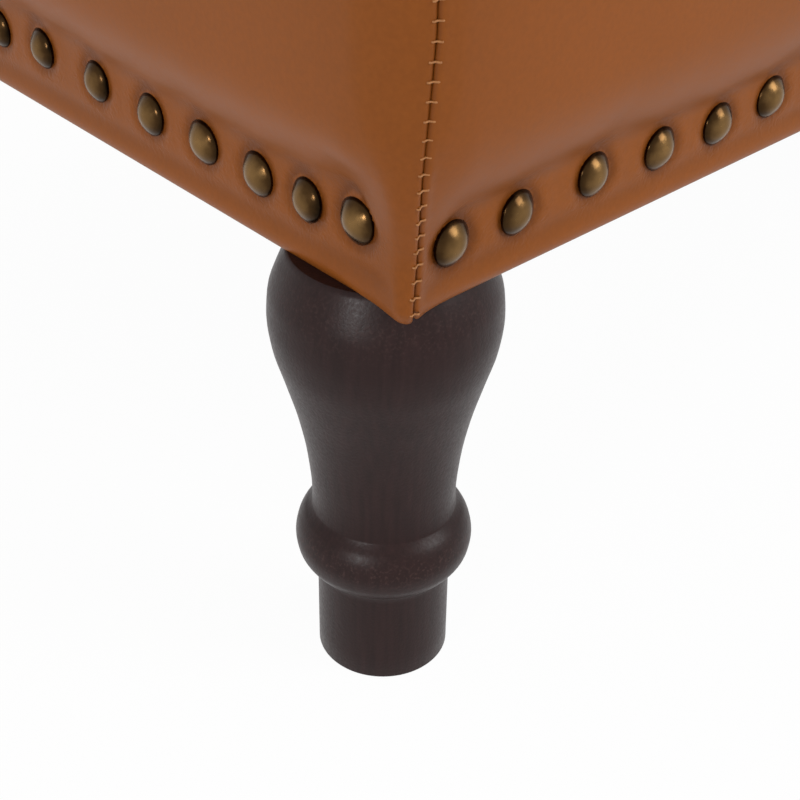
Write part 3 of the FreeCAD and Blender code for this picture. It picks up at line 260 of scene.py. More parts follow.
# The lining's threads are 1.5 mm wide, as in a coarse furniture cloth.
LINING = woven("brown_lining_cloth", ("#40352E", "#54473D"), 1.5)
DUST_CLOTH = plain_finish("black_dust_cloth", ("#141414", "#232323"), 1.5, rough=0.95)
THREAD = plain_finish("tan_thread", ("#8A5526", "#A56E3A"), 0.5, rough=0.55)
PLYWOOD = plain_finish("birch_plywood", ("#B99562", "#D4B584"), 2.5, stretch=(0.08, 0.08, 1), rough=0.7)
ZINC = plain_finish("zinc_plated_steel", ("#9A9892", "#ABA9A2"), 0.7, stretch=(0.2, 1, 1), bump=0.05,
                    rough=0.34, metallic=1.0)
YELLOW_ZINC = plain_finish("yellow_zinc_screws", ("#9C8446", "#B9A05C"), 0.6, bump=0.05, rough=0.32,
                           metallic=1.0)
CHROME = plain_finish("chromed_rod", ("#C9CACC", "#DDDEE0"), 1.0, bump=0.02, rough=0.12, metallic=1.0)
BLACK_STEEL = plain_finish("black_painted_steel", ("#121214", "#1D1D20"), 0.9, bump=0.08, rough=0.35)
RUBBER = plain_finish("black_rubber", ("#17171A", "#232326"), 0.8, rough=0.75)
NYLON = plain_finish("black_nylon", ("#1A1A1B", "#2A2A2B"), 0.8, rough=0.5)
FOAM = plain_finish("cream_foam", ("#D8CBA2", "#EADFBC"), 1.2, bump=0.5, rough=0.9)
TWINE = plain_finish("waxed_twine", ("#B8A27A", "#D6C6A0"), 0.8, rough=0.7)
print("finishes:", len(bpy.data.materials))

# %% [markdown]
# Hard pieces are shown as the CAD model has them. Each takes the finish of its material slot in the record.
# The small screws are yellow-passivated, which sets them off from their hinges and brackets.

# %% Finishes on the hard pieces
FINISH_OF_SLOT = {"leather": LEATHER, "leg_lacquer": LACQUER, "plywood": PLYWOOD, "antique_brass": BRASS,
                  "foam": FOAM, "lining": LINING, "dust_cloth": DUST_CLOTH, "twine": TWINE, "nylon": NYLON,
                  "bumper_rubber": RUBBER, "black_steel": BLACK_STEEL, "chromed_rod": CHROME,
                  "zinc_steel": ZINC}
for part in frame["record"]["subparts"]:
    hard = frame["nodes"][part["node"]]
    hard.data.materials.clear()
    hard.data.materials.append(FINISH_OF_SLOT[part["material_slot"]])
for name in ("box_hardware_screws", "lid_hardware_screws"):
    frame["nodes"][name].data.materials[0] = YELLOW_ZINC

# %% [markdown]
# ## Padded sides
# A side is leather over foam over a plywood wall. Nails hold a flat band along the lower edge, and above
# them the padding swells out. The swell is three arcs: a quick rise from the band, a long and nearly flat
# face, and a round over the rim. Leather eases the fold above the nails, so that place is an average over a
# few heights.

# %% Swell of a side
BAND_LENGTH, BAND_DEPTH = 1060.0, 420.0
EDGE_Z = 120.0
RIM, RIM_OUT = 225.0, -1.5
BAND_TOP, SWELL_TOP, ROUND_START = 21.0, 48.0, 203.0
LOW_CROWN, CROWN = 11.0, 12.0
SWELL_R = (LOW_CROWN ** 2 + (SWELL_TOP - BAND_TOP) ** 2) / (2 * LOW_CROWN)
RIM_R = ((LOW_CROWN - RIM_OUT) ** 2 + (RIM - ROUND_START) ** 2) / (2 * (LOW_CROWN - RIM_OUT))
FACE_HALF = (ROUND_START - SWELL_TOP) / 2
FACE_R = (FACE_HALF ** 2 + (CROWN - LOW_CROWN) ** 2) / (2 * (CROWN - LOW_CROWN))


def swell_at(height):
    """How far the padding stands out of the nailed band at a height above the lower edge."""
    h = np.asarray(height, float)
    rising = LOW_CROWN - SWELL_R + np.sqrt(np.maximum(SWELL_R ** 2 - (SWELL_TOP - h) ** 2, 0))
    face = CROWN - FACE_R + np.sqrt(FACE_R ** 2 - (h - SWELL_TOP - FACE_HALF) ** 2)
    rim = LOW_CROWN - RIM_R + np.sqrt(np.maximum(RIM_R ** 2 - (h - ROUND_START) ** 2, 0))
    return np.where(h < BAND_TOP, 0, np.where(h < SWELL_TOP, rising, np.where(h < ROUND_START, face, rim)))


def eased_swell(height, ease=3.2):
    """The same swell with its fold above the nails eased over a height, as leather eases it."""
    steps = np.linspace(-ease, ease, 11)
    return np.mean([swell_at(np.asarray(height, float) + step) for step in steps], axis=0)


print("swell at mid height, mm:", float(swell_at(SWELL_TOP + FACE_HALF)))


# %% [markdown]
# The section is known, so a side's mesh is a grid: rows follow the section, columns follow the wall from
# one corner seam to the next. The end panels wrap round the corners, so each seam lies a little way along
# the front or the back. It leans as it climbs.

# %% Rows of a side
LOWER_ROUND, EDGE_DROP, WALL_IN = 3.0, 1.4, 15.0
BACK_OUT, BACK_TOP, RETURN_OUT, RETURN_END = -1.35, 223.6, -13.6, 203.3
EASED_BELOW = 60.0


def smooth_step(low, high, x):
    """0 below low, 1 above high, and a soft climb between them."""
    t = np.clip((np.asarray(x, float) - low) / (high - low), 0, 1)
    return t * t * (3 - 2 * t)


def corner_radius(height):
    """Radius of the leather's corner in plan: crisp below, soft where the padding is thick."""
    return 3.4 + 0.6 * smooth_step(4, 18, height) + 12 * smooth_step(23, 60, height)


def seam_lean(height):
    """How much further past the front's band than past the end's the seam lies."""
    h = np.asarray(height, float)
    return np.minimum(3.05 + 0.058 * h + 0.035 * np.maximum(h - 38, 0), 8.0)


def section_rows():
    """Rows (out, height, corner radius, on the outside) round a side's closed section."""
    rows = [(-WALL_IN, h, 2.0, True) for h in (RETURN_END, 210, 217, 223)]
    rows += [(-14.6, 224.4, 2.2, True), (-13.5, RIM, 2.5, True), (-9, RIM, 4, True), (-5, RIM, 7, True)]
    for turn in np.linspace(math.acos((RIM_OUT - LOW_CROWN + RIM_R) / RIM_R), 0.06, 12):
        rows.append((LOW_CROWN - RIM_R * (1 - math.cos(turn)), ROUND_START + RIM_R * math.sin(turn),
                     8 + 8 * (1 - turn), True))
    for h in [*np.arange(ROUND_START - 1, 84, -5.5), *np.arange(82, LOWER_ROUND, -1.1)]:
        swell = eased_swell(h) if h < EASED_BELOW else swell_at(h)
        rows.append((float(swell), h, float(corner_radius(h)), True))
    for turn in np.linspace(0, math.pi / 2, 8):
        out = -LOWER_ROUND * (1 - math.cos(turn))
        rows.append((out, LOWER_ROUND - (LOWER_ROUND + EDGE_DROP) * math.sin(turn), 3 + 0.6 * out, True))
    rows += [(-8, -EDGE_DROP, 1, True), (-12, -EDGE_DROP, 1, True), (-WALL_IN, 0, 1, True)]
    rows += [(-WALL_IN, 1.2, 1, False), (-6, 1.3, 0.5, False)]
    rows += [(BACK_OUT, h, 0.5, False) for h in (6, 120, BACK_TOP)]
    rows += [(RETURN_OUT, h, 0.5, False) for h in (BACK_TOP, RETURN_END)]
    return [np.array(column) for column in zip(*rows)]


ROW_OUT, ROW_H, ROW_R, ROW_OUTSIDE = section_rows()
ROW_LEAN = seam_lean(ROW_H)
print("section rows:", len(ROW_H))


# %% [markdown]
# A row is a walk round the box at one height: part of a corner's arc, a straight run and the next corner's
# arc. The walk also gives the outward direction in plan, which later carries every push and pull on the
# leather.

# %% Walks round the box
SEAM_COLUMN, FACE_COLUMN = 1.2, 3.8


def corner_start(radius, lean):
    """Where a seam cuts a row at the front left corner: the turn on the arc and the run past it."""
    share = np.clip(lean / (radius * math.sqrt(2)), -1, math.sqrt(0.5))
    return math.pi / 4 + np.arcsin(share), np.maximum(lean - radius, 0)


def walk(fractions, wraps):
    """Places and outward directions on all rows; wraps tells an end panel from a front one."""
    places, outs = [], []
    for out, height, radius, lean in zip(ROW_OUT, ROW_H, ROW_R, ROW_LEAN):
        half_x, half_y = BAND_LENGTH / 2 + out, BAND_DEPTH / 2 + out
        turn, past = corner_start(radius, lean)
        if wraps:
            arc, flat, first = radius * turn, 2 * (half_y - radius), past
        else:
            arc, flat, first = radius * (math.pi / 2 - turn), 2 * (half_x - radius) - 2 * past, 0
        total = 2 * (arc + first) + flat
        way = fractions * total
        mirrored = way > total / 2
        way = np.where(mirrored, total - way, way)
        on_first = way < first
        on_arc = ~on_first & (way < first + arc)
        swept = (way - first) / radius
        angle = np.where(on_arc, turn - swept if wraps else turn + swept, 0.0 if wraps else math.pi / 2)
        angle = np.where(on_first, math.pi / 2, angle)
        x = -(half_x - radius) - radius * np.cos(angle)
        y = -(half_y - radius) - radius * np.sin(angle)
        nx, ny = -np.cos(angle), -np.sin(angle)
        beyond = np.maximum(way - first - arc, 0)
        flip = np.where(mirrored, -1, 1)
        if wraps:
            x = np.where(on_first, -(half_x - radius) + past - way, x)
            y, ny = (y + beyond) * flip, ny * flip
        else:
            x, nx = (x + past + beyond) * flip, nx * flip
        places.append(np.stack([x, y, np.full_like(x, EDGE_Z + height)], axis=1))
        outs.append(np.stack([nx, ny, np.zeros_like(x)], axis=1))
    return np.array(places), np.array(outs)


def column_ways(length, fine_first, fine_last):
    """Distances of a panel's columns from its first seam, close together at the seams and where it shows."""
    near = [0, 0.25, 0.5, 0.8, 1.1, 1.45, 1.85, 2.3, 2.9, 3.6, 4.5, 5.6]
    next_column = near[-1] + SEAM_COLUMN
    start, end = [near + list(np.arange(next_column, fine, SEAM_COLUMN)) for fine in (fine_first, fine_last)]
    gap = length - start[-1] - end[-1]
    middle = np.linspace(start[-1], start[-1] + gap, max(int(gap / FACE_COLUMN), 2))[1:-1]
    return np.array(start + list(middle) + [length - way for way in reversed(end)])


print("columns of a front 1 m long:", len(column_ways(1000, 170, 30)))


# %% [markdown]
# ## Nails by hand
# Each nail presses its head into the leather, draws the padding down above it and starts small stretch
# lines. The ones at the front left corner were measured in the photograph through the solved camera, so
# their spacing and height wander as they do there.

# %% Nail places
NAIL_PITCH, NAIL_CORNER, NAIL_RADIUS = 21.0, 14.5, 5.5
FRONT_MEASURED = [(13.9, 13.7), (33.6, 14.0), (58.0, 15.0), (81.0, 13.9), (102.5, 13.5), (123.1, 14.5)]
END_MEASURED = [(15.2, 17.8), (31.7, 16.2), (48.7, 15.7), (68.6, 16.0), (89.5, 15.7), (112.1, 16.5),
                (136.4, 17.3)]
FRONT_RISE, END_RISE = 14.1, 16.3


def nail_places(length, rise, measured=()):
    """(distance from the first corner, height) of each nail along a side."""
    start = measured[-1][0] + NAIL_PITCH if measured else NAIL_CORNER
    count = max(1, round((length - NAIL_CORNER - start) / NAIL_PITCH))
    step = (length - NAIL_CORNER - start) / count
    return np.array(list(measured) + [(start + i * step, rise) for i in range(count + 1)])


NAILS = {"front": nail_places(BAND_LENGTH, FRONT_RISE, FRONT_MEASURED),
         "back": nail_places(BAND_LENGTH, FRONT_RISE),
         "left": nail_places(BAND_DEPTH, END_RISE, END_MEASURED),
         "right": nail_places(BAND_DEPTH, END_RISE)}
print("nails:", sum(len(row) for row in NAILS.values()))


# %% [markdown]
# ## Leather over the padding
# The grid gets its life from a few small fields, each a distance and a falloff. At a corner the seam holds
# the padding taut, so the fold above the nails fades and the lower tip puffs out. The seam itself is a
# groove between two lips of leather, which the stitches pinch.

# %% Fields at a corner and its seam
STITCH_PITCH, CORNER_EASE = 4.0, 20.0
GROOVE_DEPTH, GROOVE_HALF, LIP_HEIGHT, LIP_AWAY = 0.5, 0.42, 0.25, 1.3
TAUT_REACH, TIP_REACH, TIP_PUFF = (3, 20), (3, 16), 1.5


def corner_push(height, from_corner):
    """How much further out the taut seam holds the leather at a corner."""
    taut = np.where(height < EASED_BELOW, eased_swell(height, CORNER_EASE) - eased_swell(height), 0)
    tip = TIP_PUFF * np.exp(-(from_corner / 7) ** 2) * (1 - smooth_step(*TIP_REACH, height))
    return taut * (1 - smooth_step(*TAUT_REACH, from_corner)) + tip


def seam_push(height, from_seam):
    """The push of a seam's lips and groove, and the groove alone."""
    phase = np.abs((height / STITCH_PITCH) % 1 - 0.5) * 2
    pinch = 1 - 0.5 * smooth_step(0.55, 1.0, phase) * (1 - smooth_step(78, 84, height))
    groove = np.exp(-(from_seam / GROOVE_HALF) ** 2)
    lip = np.exp(-((from_seam - LIP_AWAY) / 1.1) ** 2)
    return LIP_HEIGHT * lip * pinch - GROOVE_DEPTH * groove, groove


print("push at the tip, mm:", round(float(corner_push(np.array(0.0), 0)), 2))


# %% [markdown]
# Along a side there are the dent round a nail, the crease that runs from nail top to nail top, the shallow
# trough below the nails and the slack above them. A mask of painted shade and the pull field are kept on the
# points, so that the finish can follow them.

# %% Fields along a side
FOLD_ABOVE_NAIL, NAIL_SEAT = 1.9, 0.6
DRAWN_DEPTH, SLACK_DEPTH, CREASE_DEPTH = 0.4, 0.35, 0.3
TROUGH_DEPTH, TROUGH_HEIGHT, TROUGH_HALF = 0.55, 6.5, 2.6


def leather_fields(along, height, nails, from_seam, from_corner):
    """Push outwards, push of the corner, painted shade and pull at places on a side."""
    open_side = smooth_step(*TAUT_REACH, from_corner)
    low = 1 - smooth_step(40, 70, height)
    offset = along[..., None] - nails[:, 0]
    nearest = np.abs(offset).argmin(-1)
    aside = np.take_along_axis(offset, nearest[..., None], -1)[..., 0]
    away = np.hypot(aside, height - nails[nearest, 1])
    fold_height = np.interp(along, nails[:, 0], nails[:, 1]) + NAIL_RADIUS + FOLD_ABOVE_NAIL
    above_fold = height - fold_height
    shift = (fold_height - BAND_TOP) * (1 - smooth_step(30, 46, height)) * smooth_step(4, 9, height)
    push = np.where(height < EASED_BELOW, (eased_swell(height - shift) - eased_swell(height)) * open_side, 0)
    drawn = np.exp(-(aside / 5.5) ** 2 - np.maximum(above_fold, 0) / 9) * smooth_step(-4, 1, above_fold)
    slack = np.sin(along / 17.0 + 0.6) * np.sin(along / 41.0 + height / 37.0)
    crease = np.exp(-(above_fold / 1.5) ** 2) * (0.35 + 0.65 * np.exp(-(aside / 7) ** 2)) * open_side
    trough = np.exp(-((height - TROUGH_HEIGHT) / TROUGH_HALF) ** 2) * smooth_step(2, 10, from_corner)
    push = push - DRAWN_DEPTH * drawn * low + SLACK_DEPTH * slack * smooth_step(30, 70, height)
    push = push - TROUGH_DEPTH * trough - CREASE_DEPTH * crease * low
    # Under a nail the leather lies flat, a little below the nailed band, whatever the padding does beside it.
    past_rim = np.maximum(away - NAIL_RADIUS, 0)
    dent = np.exp(-(past_rim / 1.5) ** 2) * low
    push = push * (1 - dent) - (eased_swell(height) + NAIL_SEAT) * dent
    taut = corner_push(height, from_corner) * (1 - dent)
    sewn, groove = seam_push(height, from_seam)
    # Painted shade: darker in the crease, round the nail dents, in the seam groove, in the trough and near
    # the seam.
    fold_shade = 0.3 * crease * low + 0.5 * dent * (away > NAIL_RADIUS - 0.5) + 0.25 * groove + 0.2 * trough
    fold_shade = fold_shade + 0.22 * np.exp(-from_seam / 22)
    pull = np.exp(-(past_rim / 5) ** 2) * low
    return push + sewn, taut, np.clip(fold_shade, 0, 1), np.clip(pull, 0, 1)


mid_front = np.array([BAND_LENGTH / 2])
mid_fields = leather_fields(mid_front, mid_front * 0 + 35, NAILS["front"], mid_front, mid_front)
print("push in mid front at 35 mm:", mid_fields[0].round(2))


# %% [markdown]
# A side's grid is walked, then moved by its fields. The pushes go along the section's own slope, except at
# a corner, which moves out on both of its faces at once so that the seam stays where it was cut.

# %% Grid of a side
WRAP = 16.0


def side_grid(side, fine_first, fine_last):
    """Places on a side's grid with the painted shade and pull there, built at the front or at the left end.
    """
    wraps = side in ("left", "right")
    length = BAND_DEPTH + WRAP if wraps else BAND_LENGTH - WRAP
    ways = column_ways(length, fine_first, fine_last)
    places, outs = walk(ways / length, wraps)
    along = places[..., 1] + BAND_DEPTH / 2 if wraps else places[..., 0] + BAND_LENGTH / 2
    height = np.repeat(ROW_H[:, None], len(ways), axis=1)
    from_seam = np.repeat(np.minimum(ways, length - ways)[None, :], len(ROW_H), axis=0)
    outer = np.array([BAND_LENGTH, BAND_DEPTH]) / 2 + ROW_OUT[:, None, None]
    from_corner = np.linalg.norm(outer - np.abs(places[..., :2]), axis=-1)
    fields = leather_fields(along, height, NAILS[side], from_seam, from_corner)
    outside = (ROW_OUTSIDE & (ROW_OUT > -6))[:, None]
    push, taut, fold_shade, pull = [np.where(outside, field, 0) for field in fields]
    rise = np.gradient(ROW_H)
    sway = np.gradient(ROW_OUT) / np.where(np.abs(rise) < 1e-6, 1e-6, rise)
    normal = outs + np.array([0, 0, 1]) * np.clip(-sway, -1.5, 1.5)[:, None, None]
    normal = normal / np.linalg.norm(normal, axis=-1, keepdims=True)
    on_face = smooth_step(6, 30, from_corner)[..., None]
    outwards = np.sign(places) * np.array([1, 1, 0]) * (1 - on_face) + outs * on_face
    return places + normal * push[..., None] + outwards * taut[..., None], fold_shade, pull


print("panel lengths, mm:", BAND_LENGTH - WRAP, BAND_DEPTH + WRAP)


# %% [markdown]
# Two helpers make the meshes. One puts points in millimetres, the unit in which a workshop measures a
# bench, into a smooth piece whose faces look outwards. The other joins rings of points, which is how nearly
# everything here is skinned. The back and the right end are the other two sides turned half round.

# %% Padded sides
HALF_TURN = np.array([-1, -1, 1])


def raw_piece(name, points, faces, material):
    """A piece in the scene whose mesh has points in millimetres and faces as they're given."""
    mesh = bpy.data.meshes.new(name)
    mesh.from_pydata((np.asarray(points, float) * MM).tolist(), [], faces)
    mesh.materials.append(material)
    piece = bpy.data.objects.new(name, mesh)
    bpy.context.scene.collection.objects.link(piece)
    return piece


def piece_from(name, points, faces, material, flat_faces=()):
    """A smooth piece with its faces turned outwards; flat_faces are the indices that stay flat."""
    piece = raw_piece(name, points, faces, material)
    shape = bmesh.new()
    shape.from_mesh(piece.data)
    bmesh.ops.recalc_face_normals(shape, faces=shape.faces)
    shape.to_mesh(piece.data)
    shape.free()
    piece.data.shade_smooth()
    for index in flat_faces:
        piece.data.polygons[index].use_smooth = False
    return piece


def join_rings(rings):
    """Faces between each ring of point numbers and the next; a ring of one point is a tip."""
    faces = []
    for low, high in zip(rings, rings[1:]):
        for i in range(max(len(low), len(high))):
            first, second = low[i % len(low)], low[(i + 1) % len(low)]
            third, fourth = high[(i + 1) % len(high)], high[i % len(high)]
            faces.append(list(dict.fromkeys((first, second, third, fourth))))
    return faces


def store(piece, name, values):
    """Keeps one number for each point of a piece, for its material to read."""
    layer = piece.data.attributes.new(name, "FLOAT", "POINT")
    layer.data.foreach_set("value", np.asarray(values, np.float32).ravel())


for side, fine_first in (("front", 170), ("left", 175), ("back", 30), ("right", 30)):
    places, fold_shade, pull = side_grid(side, fine_first, 30)
    if side in ("back", "right"):
        places = places * HALF_TURN
    columns = np.arange(fold_shade.size).reshape(fold_shade.shape).T.tolist()
    faces = join_rings(columns) + [columns[0], columns[-1][::-1]]
    panel = piece_from(f"{side}_padded_side", places.reshape(-1, 3), faces, LEATHER,
                       (len(faces) - 2, len(faces) - 1))
    store(panel, "fold_shade", fold_shade)
    store(panel, "pull", pull)
    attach(panel, "base")
    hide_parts(f"{side}_cover", f"{side}_foam")
    print(panel.name, "faces:", len(panel.data.polygons))


# %% [markdown]
# ## What repeats: one node tree
# Nails, stitches and buttons are one shape set again and again on given points. A Geometry Nodes tree does
# it: each point carries two directions, outward and along, that turn the shape; a small random lean and
# size keep the hand in it. The tree ends in real geometry.

# %% The setting tree
def setting_tree():
    tree = bpy.data.node_groups.new("set_on_points", "GeometryNodeTree")
    kinds = {"Points": "Geometry", "Shape": "Object", "Lean": "Float", "Size spread": "Float", "Seed": "Int",
             "Finish": "Material"}
    for name, kind in kinds.items():
        tree.interface.new_socket(name=name, in_out="INPUT", socket_type="NodeSocket" + kind)
    tree.interface.new_socket(name="Set pieces", in_out="OUTPUT", socket_type="NodeSocketGeometry")
    given = add(tree, "NodeGroupInput").outputs
    points = add(tree, "GeometryNodeMeshToPoints", {"Mesh": given["Points"]})
    outward, along = [add(tree, "GeometryNodeInputNamedAttribute", {"Name": name}, data_type="FLOAT_VECTOR")
                      for name in ("outward", "along")]
    stand = add(tree, "FunctionNodeAxesToRotation", {0: outward, 1: along}, primary_axis="Z",
                secondary_axis="X")
    less = add(tree, "ShaderNodeMath", {0: given["Lean"], 1: -1.0}, operation="MULTIPLY")
    lean = add(tree, "FunctionNodeRandomValue", {0: less, 1: given["Lean"], "Seed": given["Seed"]},
               data_type="FLOAT_VECTOR")
    tip = add(tree, "FunctionNodeEulerToRotation", {0: lean})
    turned = add(tree, "FunctionNodeRotateRotation", {0: stand, 1: tip}, rotation_space="LOCAL")
    small, large = [add(tree, "ShaderNodeMath", {0: 1.0, 1: given["Size spread"]}, operation=way)
                    for way in ("SUBTRACT", "ADD")]
    size = add(tree, "FunctionNodeRandomValue", {2: small, 3: large, "Seed": given["Seed"]},
               data_type="FLOAT")
    shape = add(tree, "GeometryNodeObjectInfo", {"Object": given["Shape"], "As Instance": True})
    copies = add(tree, "GeometryNodeInstanceOnPoints",
                 {"Points": points, "Instance": shape.outputs["Geometry"], "Rotation": turned, "Scale": size})
    tone = add(tree, "FunctionNodeRandomValue", {"Seed": given["Seed"]}, data_type="FLOAT")
    tinted = add(tree, "GeometryNodeStoreNamedAttribute", {"Geometry": copies, "Name": "tint", "Value": tone},
                 data_type="FLOAT", domain="INSTANCE")
    real = add(tree, "GeometryNodeRealizeInstances", {"Geometry": tinted})
    finished = add(tree, "GeometryNodeSetMaterial", {"Geometry": real, "Material": given["Finish"]})
    add(tree, "NodeGroupOutput", {"Set pieces": finished})
    return tree


SETTING = setting_tree()
print("setting tree nodes:", len(SETTING.nodes))


# %% [markdown]
# A carrier mesh holds the points while the tree works. Its result is kept as a plain mesh, and the carrier
# goes.

# %% Setting a shape on points
INPUT_KEY = {socket.name: socket.identifier for socket in SETTING.interface.items_tree
             if socket.in_out == "INPUT"}


def worked_mesh(piece):
    """The mesh of a piece with its modifiers worked in."""
    view = bpy.context.evaluated_depsgraph_get()
    return bpy.data.meshes.new_from_object(piece.evaluated_get(view))


def set_on_points(name, shape, points, outward, along, finish, lean=0.0, spread=0.0, seed=1):
    """A plain mesh of copies of a shape set on points (millimetres) with given directions."""
    carrier = raw_piece(name + "_points", points, [], finish)
    for key, vectors in (("outward", outward), ("along", along)):
        layer = carrier.data.attributes.new(key, "FLOAT_VECTOR", "POINT")
        layer.data.foreach_set("vector", np.asarray(vectors, np.float32).ravel())
    setter = carrier.modifiers.new("Set", "NODES")
    setter.node_group = SETTING
    for key, value in (("Shape", shape), ("Lean", lean), ("Size spread", spread), ("Seed", seed),
                       ("Finish", finish)):
        setter[INPUT_KEY[key]] = value
    piece = bpy.data.objects.new(name, worked_mesh(carrier))
    piece.data.shade_smooth()
    bpy.context.scene.collection.objects.link(piece)
    bpy.data.objects.remove(carrier)
    print(name, "points:", len(points), "faces:", len(piece.data.polygons))
    return piece


print("inputs of the tree:", ", ".join(INPUT_KEY))


# %% [markdown]
# ## Nail heads
# A decorative nail is a low dome with its rim rolled under. It sits in its dent, so the rim goes a little
# below the leather's own surface. Nails, buttons and legs are all turned: a profile of radii and heights
# about an axis.

# %% Brass nails
def turned_shape(name, profile, sides, finish):
    """A shape turned about Z from (radius, height) pairs; a radius of 0 closes it in a point."""
    points, rings = [], []
    for radius, height in profile:
        count = sides if radius > 1e-6 else 1
        turns = [2 * math.pi * i / sides for i in range(count)]
        rings.append(list(range(len(points), len(points) + count)))
        points += [(radius * math.cos(t), radius * math.sin(t), height) for t in turns]
    caps = [ring for ring in (rings[0], rings[-1]) if len(ring) > 1]
    return piece_from(name, points, join_rings(rings) + caps, finish)


NAIL_DOME, NAIL_LEAN = 2.5, 0.09
nail_profile = [(4.6, -1.4), (5.2, -1.1), (5.4, -0.6), (5.35, -0.2)]
nail_profile += [(5.2 * (1 - t), NAIL_DOME * (1 - (1 - t) ** 1.9)) for t in np.linspace(0, 1, 9)[1:-1]]
nail_profile.append((0, NAIL_DOME))
nail_shape = turned_shape("nail_shape", nail_profile, 28, BRASS)
nail_heights = np.array([v.co.z / MM for v in nail_shape.data.vertices])
store(nail_shape, "dome", np.clip((nail_heights + 0.2) / NAIL_DOME, 0, 1))
for number, (side, nails) in enumerate(NAILS.items()):
    along, height = nails.T
    if side in ("front", "back"):
        spots = np.stack([along - BAND_LENGTH / 2, along * 0 - BAND_DEPTH / 2, height + EDGE_Z], axis=1)
        facing, running = (NAIL_LEAN, -1, 0), (1, NAIL_LEAN, 0)
    else:
        spots = np.stack([along * 0 - BAND_LENGTH / 2, along - BAND_DEPTH / 2, height + EDGE_Z], axis=1)
        facing, running = (-1, NAIL_LEAN, 0), (NAIL_LEAN, 1, 0)
    turn = HALF_TURN if side in ("back", "right") else np.array([1, 1, 1])
    row = set_on_points(f"{side}_nails", nail_shape, spots * turn, [facing * turn] * len(nails),
                        [running * turn] * len(nails), BRASS, lean=0.05, spread=0.015, seed=11 + number)
    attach(row, "base")
    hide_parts(f"nailheads_{side}")
bpy.data.objects.remove(nail_shape)


# %% [markdown]
# ## Corner stitches
# Each corner is overcast: a thread dives in beside the seam, crosses the groove and dives in again, every 4
# millimetres. One stitch is a short bent tube. Its points run up the seam's own curve.

# %% Stitches
def stitch_shape():
    """A thread that crosses the seam along Y: over one lip, down in the groove, over the other lip."""
    across = (-1.35, -1.2, -0.9, -0.45, 0, 0.45, 0.9, 1.2, 1.35)
    lift = (-0.4, 0.1, 0.26, 0.02, -0.2, 0.02, 0.26, 0.1, -0.4)
    sides, thick = 6, 0.25
    turns = [2 * math.pi * i / sides for i in range(sides)]
    points = [(thick * math.cos(t), y, z + thick * math.sin(t)) for y, z in zip(across, lift) for t in turns]
    rings = np.arange(len(points)).reshape(-1, sides).tolist()
    return piece_from("stitch_shape", points, join_rings(rings) + [rings[0], rings[-1]], THREAD)


def seam_curve(heights):
    """Points and outward directions of the front left seam at heights above the lower edge."""
    radius = corner_radius(heights)
    open_side = smooth_step(*TAUT_REACH, radius * 0.42)
    taut = eased_swell(heights, CORNER_EASE) * (1 - open_side) + eased_swell(heights) * open_side
    tip = 0.9 * TIP_PUFF * (1 - smooth_step(*TIP_REACH, heights))
    out = np.where(heights < EASED_BELOW, taut, swell_at(heights)) + tip + 0.1
    turn, past = corner_start(radius, seam_lean(heights))
    outward = np.stack([-np.cos(turn), -np.sin(turn), np.zeros_like(turn)], axis=1)
    centre = np.stack([-(BAND_LENGTH / 2 + out - radius) + past, -(BAND_DEPTH / 2 + out - radius),
                       heights + EDGE_Z], axis=1)
    return centre + outward * radius[:, None], outward


seam_heights = np.arange(0.5 * STITCH_PITCH, ROUND_START + 8, STITCH_PITCH)
seam_points, seam_outward = seam_curve(seam_heights)
seam_along = seam_curve(seam_heights + 0.5)[0] - seam_curve(seam_heights - 0.5)[0]
seam_along = seam_along / np.linalg.norm(seam_along, axis=1, keepdims=True)
lean_out = seam_outward - seam_along * (seam_outward * seam_along).sum(1, keepdims=True)
mirrors = [np.array([sx, sy, 1]) for sx in (1, -1) for sy in (1, -1)]
seam_points, lean_out, seam_along = [np.concatenate([rows * m for m in mirrors])
                                     for rows in (seam_points, lean_out, seam_along)]
stitch = stitch_shape()
stitches = set_on_points("corner_stitches", stitch, seam_points, lean_out, seam_along, THREAD, lean=0.1,
                         spread=0.08, seed=5)
bpy.data.objects.remove(stitch)
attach(stitches, "base")

# %% [markdown]
# ## Turned legs
# A leg comes off the lathe as one profile spun about its axis: a straight foot, a ring, a neck and a belly.
# The profile is a list of heights and radii with a smooth curve through them. A field marks the ring, where
# the lacquer wears first, and the top below the leather; the paler specks it brings are partly wear and
# partly painted highlight.

# %% Legs
LEG_AXIS = (510.0, 182.5)
LEG_PROFILE = [(0.1, 16.6), (0.6, 16.9), (25.5, 16.9), (27.5, 17.2), (28.5, 18.3), (30.5, 20.3), (33.5, 21.9),
               (37, 22.4), (40.5, 21.8), (43.5, 20.4), (45.5, 18.7), (46.5, 18.1), (50, 18), (62, 19),
               (74, 21.2), (86, 24.5), (95, 27), (102, 27.8), (108, 27.4), (114, 25.5), (119.9, 22.7)]
GLIDE_RECESS = [(11.2, 3.0), (11.2, 0.1)]


def leg_curve():
    """The profile with points between its marks, on a cubic that doesn't overshoot them."""
    z, r = np.array(LEG_PROFILE).T
    step = np.diff(z)
    slope = np.diff(r) / step
    tangent = np.zeros_like(r)
    same = slope[:-1] * slope[1:] > 0
    tangent[1:-1] = np.where(same, 2 * slope[:-1] * slope[1:] / np.where(same, slope[:-1] + slope[1:], 1), 0)
    tangent[0], tangent[-1] = slope[0], slope[-1]
    curve = []
    for i in range(len(z) - 1):
        for t in np.linspace(0, 1, 5)[:-1]:
            start, end = 2 * t ** 3 - 3 * t ** 2 + 1, 3 * t ** 2 - 2 * t ** 3
            leave, arrive = t ** 3 - 2 * t ** 2 + t, t ** 3 - t ** 2
            bend = step[i] * (leave * tangent[i] + arrive * tangent[i + 1])
            curve.append((start * r[i] + end * r[i + 1] + bend, z[i] + t * step[i]))
    return GLIDE_RECESS + curve + [(r[-1], z[-1])]


